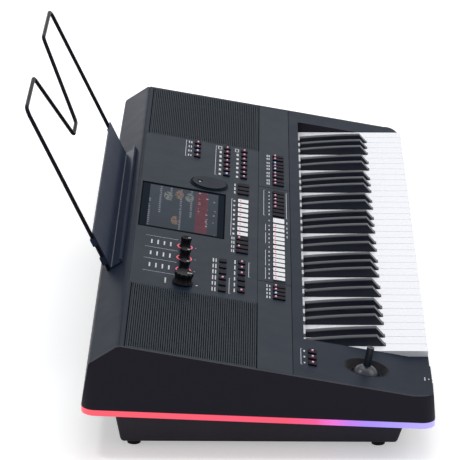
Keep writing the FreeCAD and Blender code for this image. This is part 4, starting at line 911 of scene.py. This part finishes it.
for row in (ROW_B + FRAME_BACK, ROW_C + FRAME_BACK):
    marks += [(voice[-1] + side * FRAME_HALF_WIDTH, row, *FRAME_POST) for side in (-1, 1)]
    marks += [(voice[-1], row + side * FRAME_HALF_DEPTH, *FRAME_BAR) for side in (-1, 1)]
print("marks:", len(marks))

# %% Printing on the panel and the left block
SOCKET_CAPTION, SOCKET_MARK = (53.0, 11.2, 11, 1.2), (52.0, 6.6, 3.4, 1.1)
ink = Finish("white_ink", Roughness=0.55, Specular_IOR_Level=0.3)
ink.set(Base_Color=ink.place.noise(0.0015, 4.0).mixed((0.60, 0.61, 0.64), (0.76, 0.77, 0.80)))
points, blocks = slabs(marks, INK_LOW, INK_HIGH)
piece("panel_print", on_panel(*points.T), blocks, "case", ink.material, smooth=False)

points, blocks = slabs(caption_dashes(*SOCKET_CAPTION) + [SOCKET_MARK], INK_LOW, INK_HIGH)
flat_land = (points - (LENGTH / 2, DEPTH / 2, -LAND_HEIGHT)) * MM
piece("socket_print", flat_land, blocks, "case", ink.material, smooth=False)
print("marks printed")

# %% [markdown]
# ## Dial rim and dish lip
# The data dial turns inside a raised rim of the panel. A matt black ring on the rim is
# painted shade for the shadowed gap round the dial, and outlines the dial from every side. A
# thinner, lower lip of the same section runs round the joystick's dish.

# %% Shade ring round the dial and lip round the dish
DISH_PLACE, DISH_ROW = 65.0, 79.5
HOOP_SPOKES, HOOP_CHAMFER = 96, 0.3


def chamfered_hoop(inner, outer, low, high):
    """A hoop of rectangular section with its upper edges chamfered, swept round the upright axis."""
    angle = np.arange(HOOP_SPOKES)[:, None] * math.tau / HOOP_SPOKES
    reach, rise = np.array([
        (inner, low), (outer, low), (outer, high - HOOP_CHAMFER), (outer - HOOP_CHAMFER, high),
        (inner + HOOP_CHAMFER, high), (inner, high - HOOP_CHAMFER)]).T
    rings = np.stack(np.broadcast_arrays(reach * np.cos(angle), reach * np.sin(angle), rise), axis=-1)
    index = np.arange(rings[..., 0].size).reshape(HOOP_SPOKES, -1)
    ahead, beside = np.roll(index, -1, axis=0), np.roll(index, -1, axis=1)
    quads = np.stack([index, ahead, np.roll(ahead, -1, axis=1), beside], axis=-1).reshape(-1, 4)
    return rings.reshape(-1, 3), [quads]


# painted shade: a near-black ring standing for the shadowed gap round the dial
gap_shade_black = grained_plastic("gap_shade_black", (0.0016, 0.0018, 0.0026), 0.6, 0.0006, 0.00001, 0.012)
points, blocks = chamfered_hoop(inner=23.3, outer=25.5, low=-0.1, high=1.45)
points = stand_on_panel(points, DIAL_PLACE, DIAL_ROW)
piece("dial_gap_shade", points, blocks, "case", gap_shade_black, smooth=False)

points, blocks = chamfered_hoop(inner=25.7, outer=27.0, low=-0.3, high=0.25)
points = stand_on_panel(points, DISH_PLACE, DISH_ROW)
piece("dish_lip", points, blocks, "case", soft_black, smooth=False)
print("dial and dish trimmed")

# %% [markdown]
# ## Dark seams and painted gap shade
# Black strips along the edges of the screen's recess are painted shade, and so is a black
# strip in the joint between each grille and the panel. A thin seam carries the grilles' front
# line on across the panel, and two short ones run forward from it. All of them read as fine
# black lines that give the flat panel its layout.

# %% Painted shade in the screen recess and grille gaps, and seams
LENS_LEFT, LENS_RIGHT, LENS_FRONT, LENS_REAR = 421.5, 596.5, 252.3, 362.6
RECESS_SHADE_SIDE, RECESS_SHADE_END = 3.6, 1.4
GRILLE_FRONT, GRILLE_REAR = 209.0, 362.0
GRILLE_OUTER, GRILLE_INNER = 5.4, 213.6
GAP_SHADE_AHEAD, GAP_SHADE_BEHIND = 0.7, 0.8
PANEL_FRONT = 166.5
SEAM_HALF = 0.25
CROSS_SEAMS, CROSS_HALF, CROSS_GAP = (294.5, 655.0), 0.7, 0.4
# one black for the dark seams and for painted shade in gaps and recesses
seam_and_shade = grained_plastic("seam_and_shade_black", (0.0022, 0.0024, 0.0032), 0.9, 0.0008, 0.00004, 0.02)


def dark_strip(name, rows, low, high):
    """A black strip between two heights above the panel, from (left, right, front, rear) rows, for dark
    seams and painted shade.
    """
    left, right, front, rear = np.asarray(rows, float).T
    marks = np.stack([(left + right) / 2, (front + rear) / 2, right - left, rear - front], axis=-1)
    points, blocks = slabs(marks, low, high)
    piece(name, on_panel(*points.T), blocks, "case", seam_and_shade, smooth=False)


inner_left, inner_right = LENS_LEFT + RECESS_SHADE_SIDE, LENS_RIGHT - RECESS_SHADE_SIDE
# painted shade along the edges of the screen's recess
dark_strip("screen_recess_shade", [
    (LENS_LEFT, inner_left, LENS_FRONT, LENS_REAR),
    (inner_right, LENS_RIGHT, LENS_FRONT, LENS_REAR),
    (inner_left, inner_right, LENS_FRONT, LENS_FRONT + RECESS_SHADE_END),
    (inner_left, inner_right, LENS_REAR - RECESS_SHADE_END, LENS_REAR)], low=-0.5, high=-0.1)
grilles = ((GRILLE_OUTER, GRILLE_INNER), (LENGTH - GRILLE_INNER, LENGTH - GRILLE_OUTER))
# painted shade in the gap between each grille and the panel
dark_strip("grille_gap_shade", [
    (left, right, row - GAP_SHADE_AHEAD, row + GAP_SHADE_BEHIND)
    for left, right in grilles for row in (GRILLE_FRONT, GRILLE_REAR)], low=-0.4, high=0.06)
long_seam = (GRILLE_INNER, LENGTH - GRILLE_INNER, GRILLE_FRONT - SEAM_HALF, GRILLE_FRONT + SEAM_HALF)
dark_strip("panel_seam", [long_seam] + [
    (place - CROSS_HALF, place + CROSS_HALF, PANEL_FRONT, GRILLE_FRONT - CROSS_GAP)
    for place in CROSS_SEAMS], low=-0.4, high=0.04)
print("seams laid")

# %% [markdown]
# ## The stand's fold
# The music stand's plate is folded into a ledge, and a painted highlight along the fold
# shows as one pale line from end to end. It is a very low strip in the stand's own axes,
# which lean back with the legs.

# %% Pale line along the fold
STAND_CENTRE, STAND_FROM_FRONT, STAND_FOOT = 6.5, 394.0, 125.529
STAND_TILT, LEDGE_RISE = math.radians(25.2), math.tan(math.radians(7.942))
FOLD_AHEAD, FOLD_WIDTH, FOLD_HALF_LENGTH, LEDGE_TOP = 4.5, 1.3, 224.0, 2.4
FOLD_LOW, FOLD_HIGH = -0.05, 0.12


def on_stand(along, ahead, height):
    """The stand's own axes to the frame: along its width, ahead of its legs and up them,
    turned back by the tilt."""
    x = STAND_CENTRE + along
    y = STAND_FROM_FRONT - DEPTH / 2 - ahead * math.cos(STAND_TILT) + height * math.sin(STAND_TILT)
    z = STAND_FOOT + ahead * math.sin(STAND_TILT) + height * math.cos(STAND_TILT)
    return np.stack(np.broadcast_arrays(x, y, z), axis=-1) * MM


along = np.array([-1, 1, 1, -1]) * FOLD_HALF_LENGTH
ahead = FOLD_AHEAD + np.array([1, 1, 0, 0]) * FOLD_WIDTH
height = LEDGE_TOP + ahead * LEDGE_RISE + np.array([FOLD_LOW, FOLD_HIGH])[:, None]
points, blocks = loft(on_stand(along, ahead, height))
# painted highlight: a pale strip along the stand's fold
fold_highlight = Finish("fold_highlight_paint", Roughness=0.45, Specular_IOR_Level=0.2)
fold_highlight.set(Base_Color=fold_highlight.place.noise(0.02, 4.0).mixed((0.13, 0.14, 0.17), (0.19, 0.20, 0.23)))
piece("stand_fold_highlight", points, blocks, "music_stand", fold_highlight.material, smooth=False)
print("fold drawn")
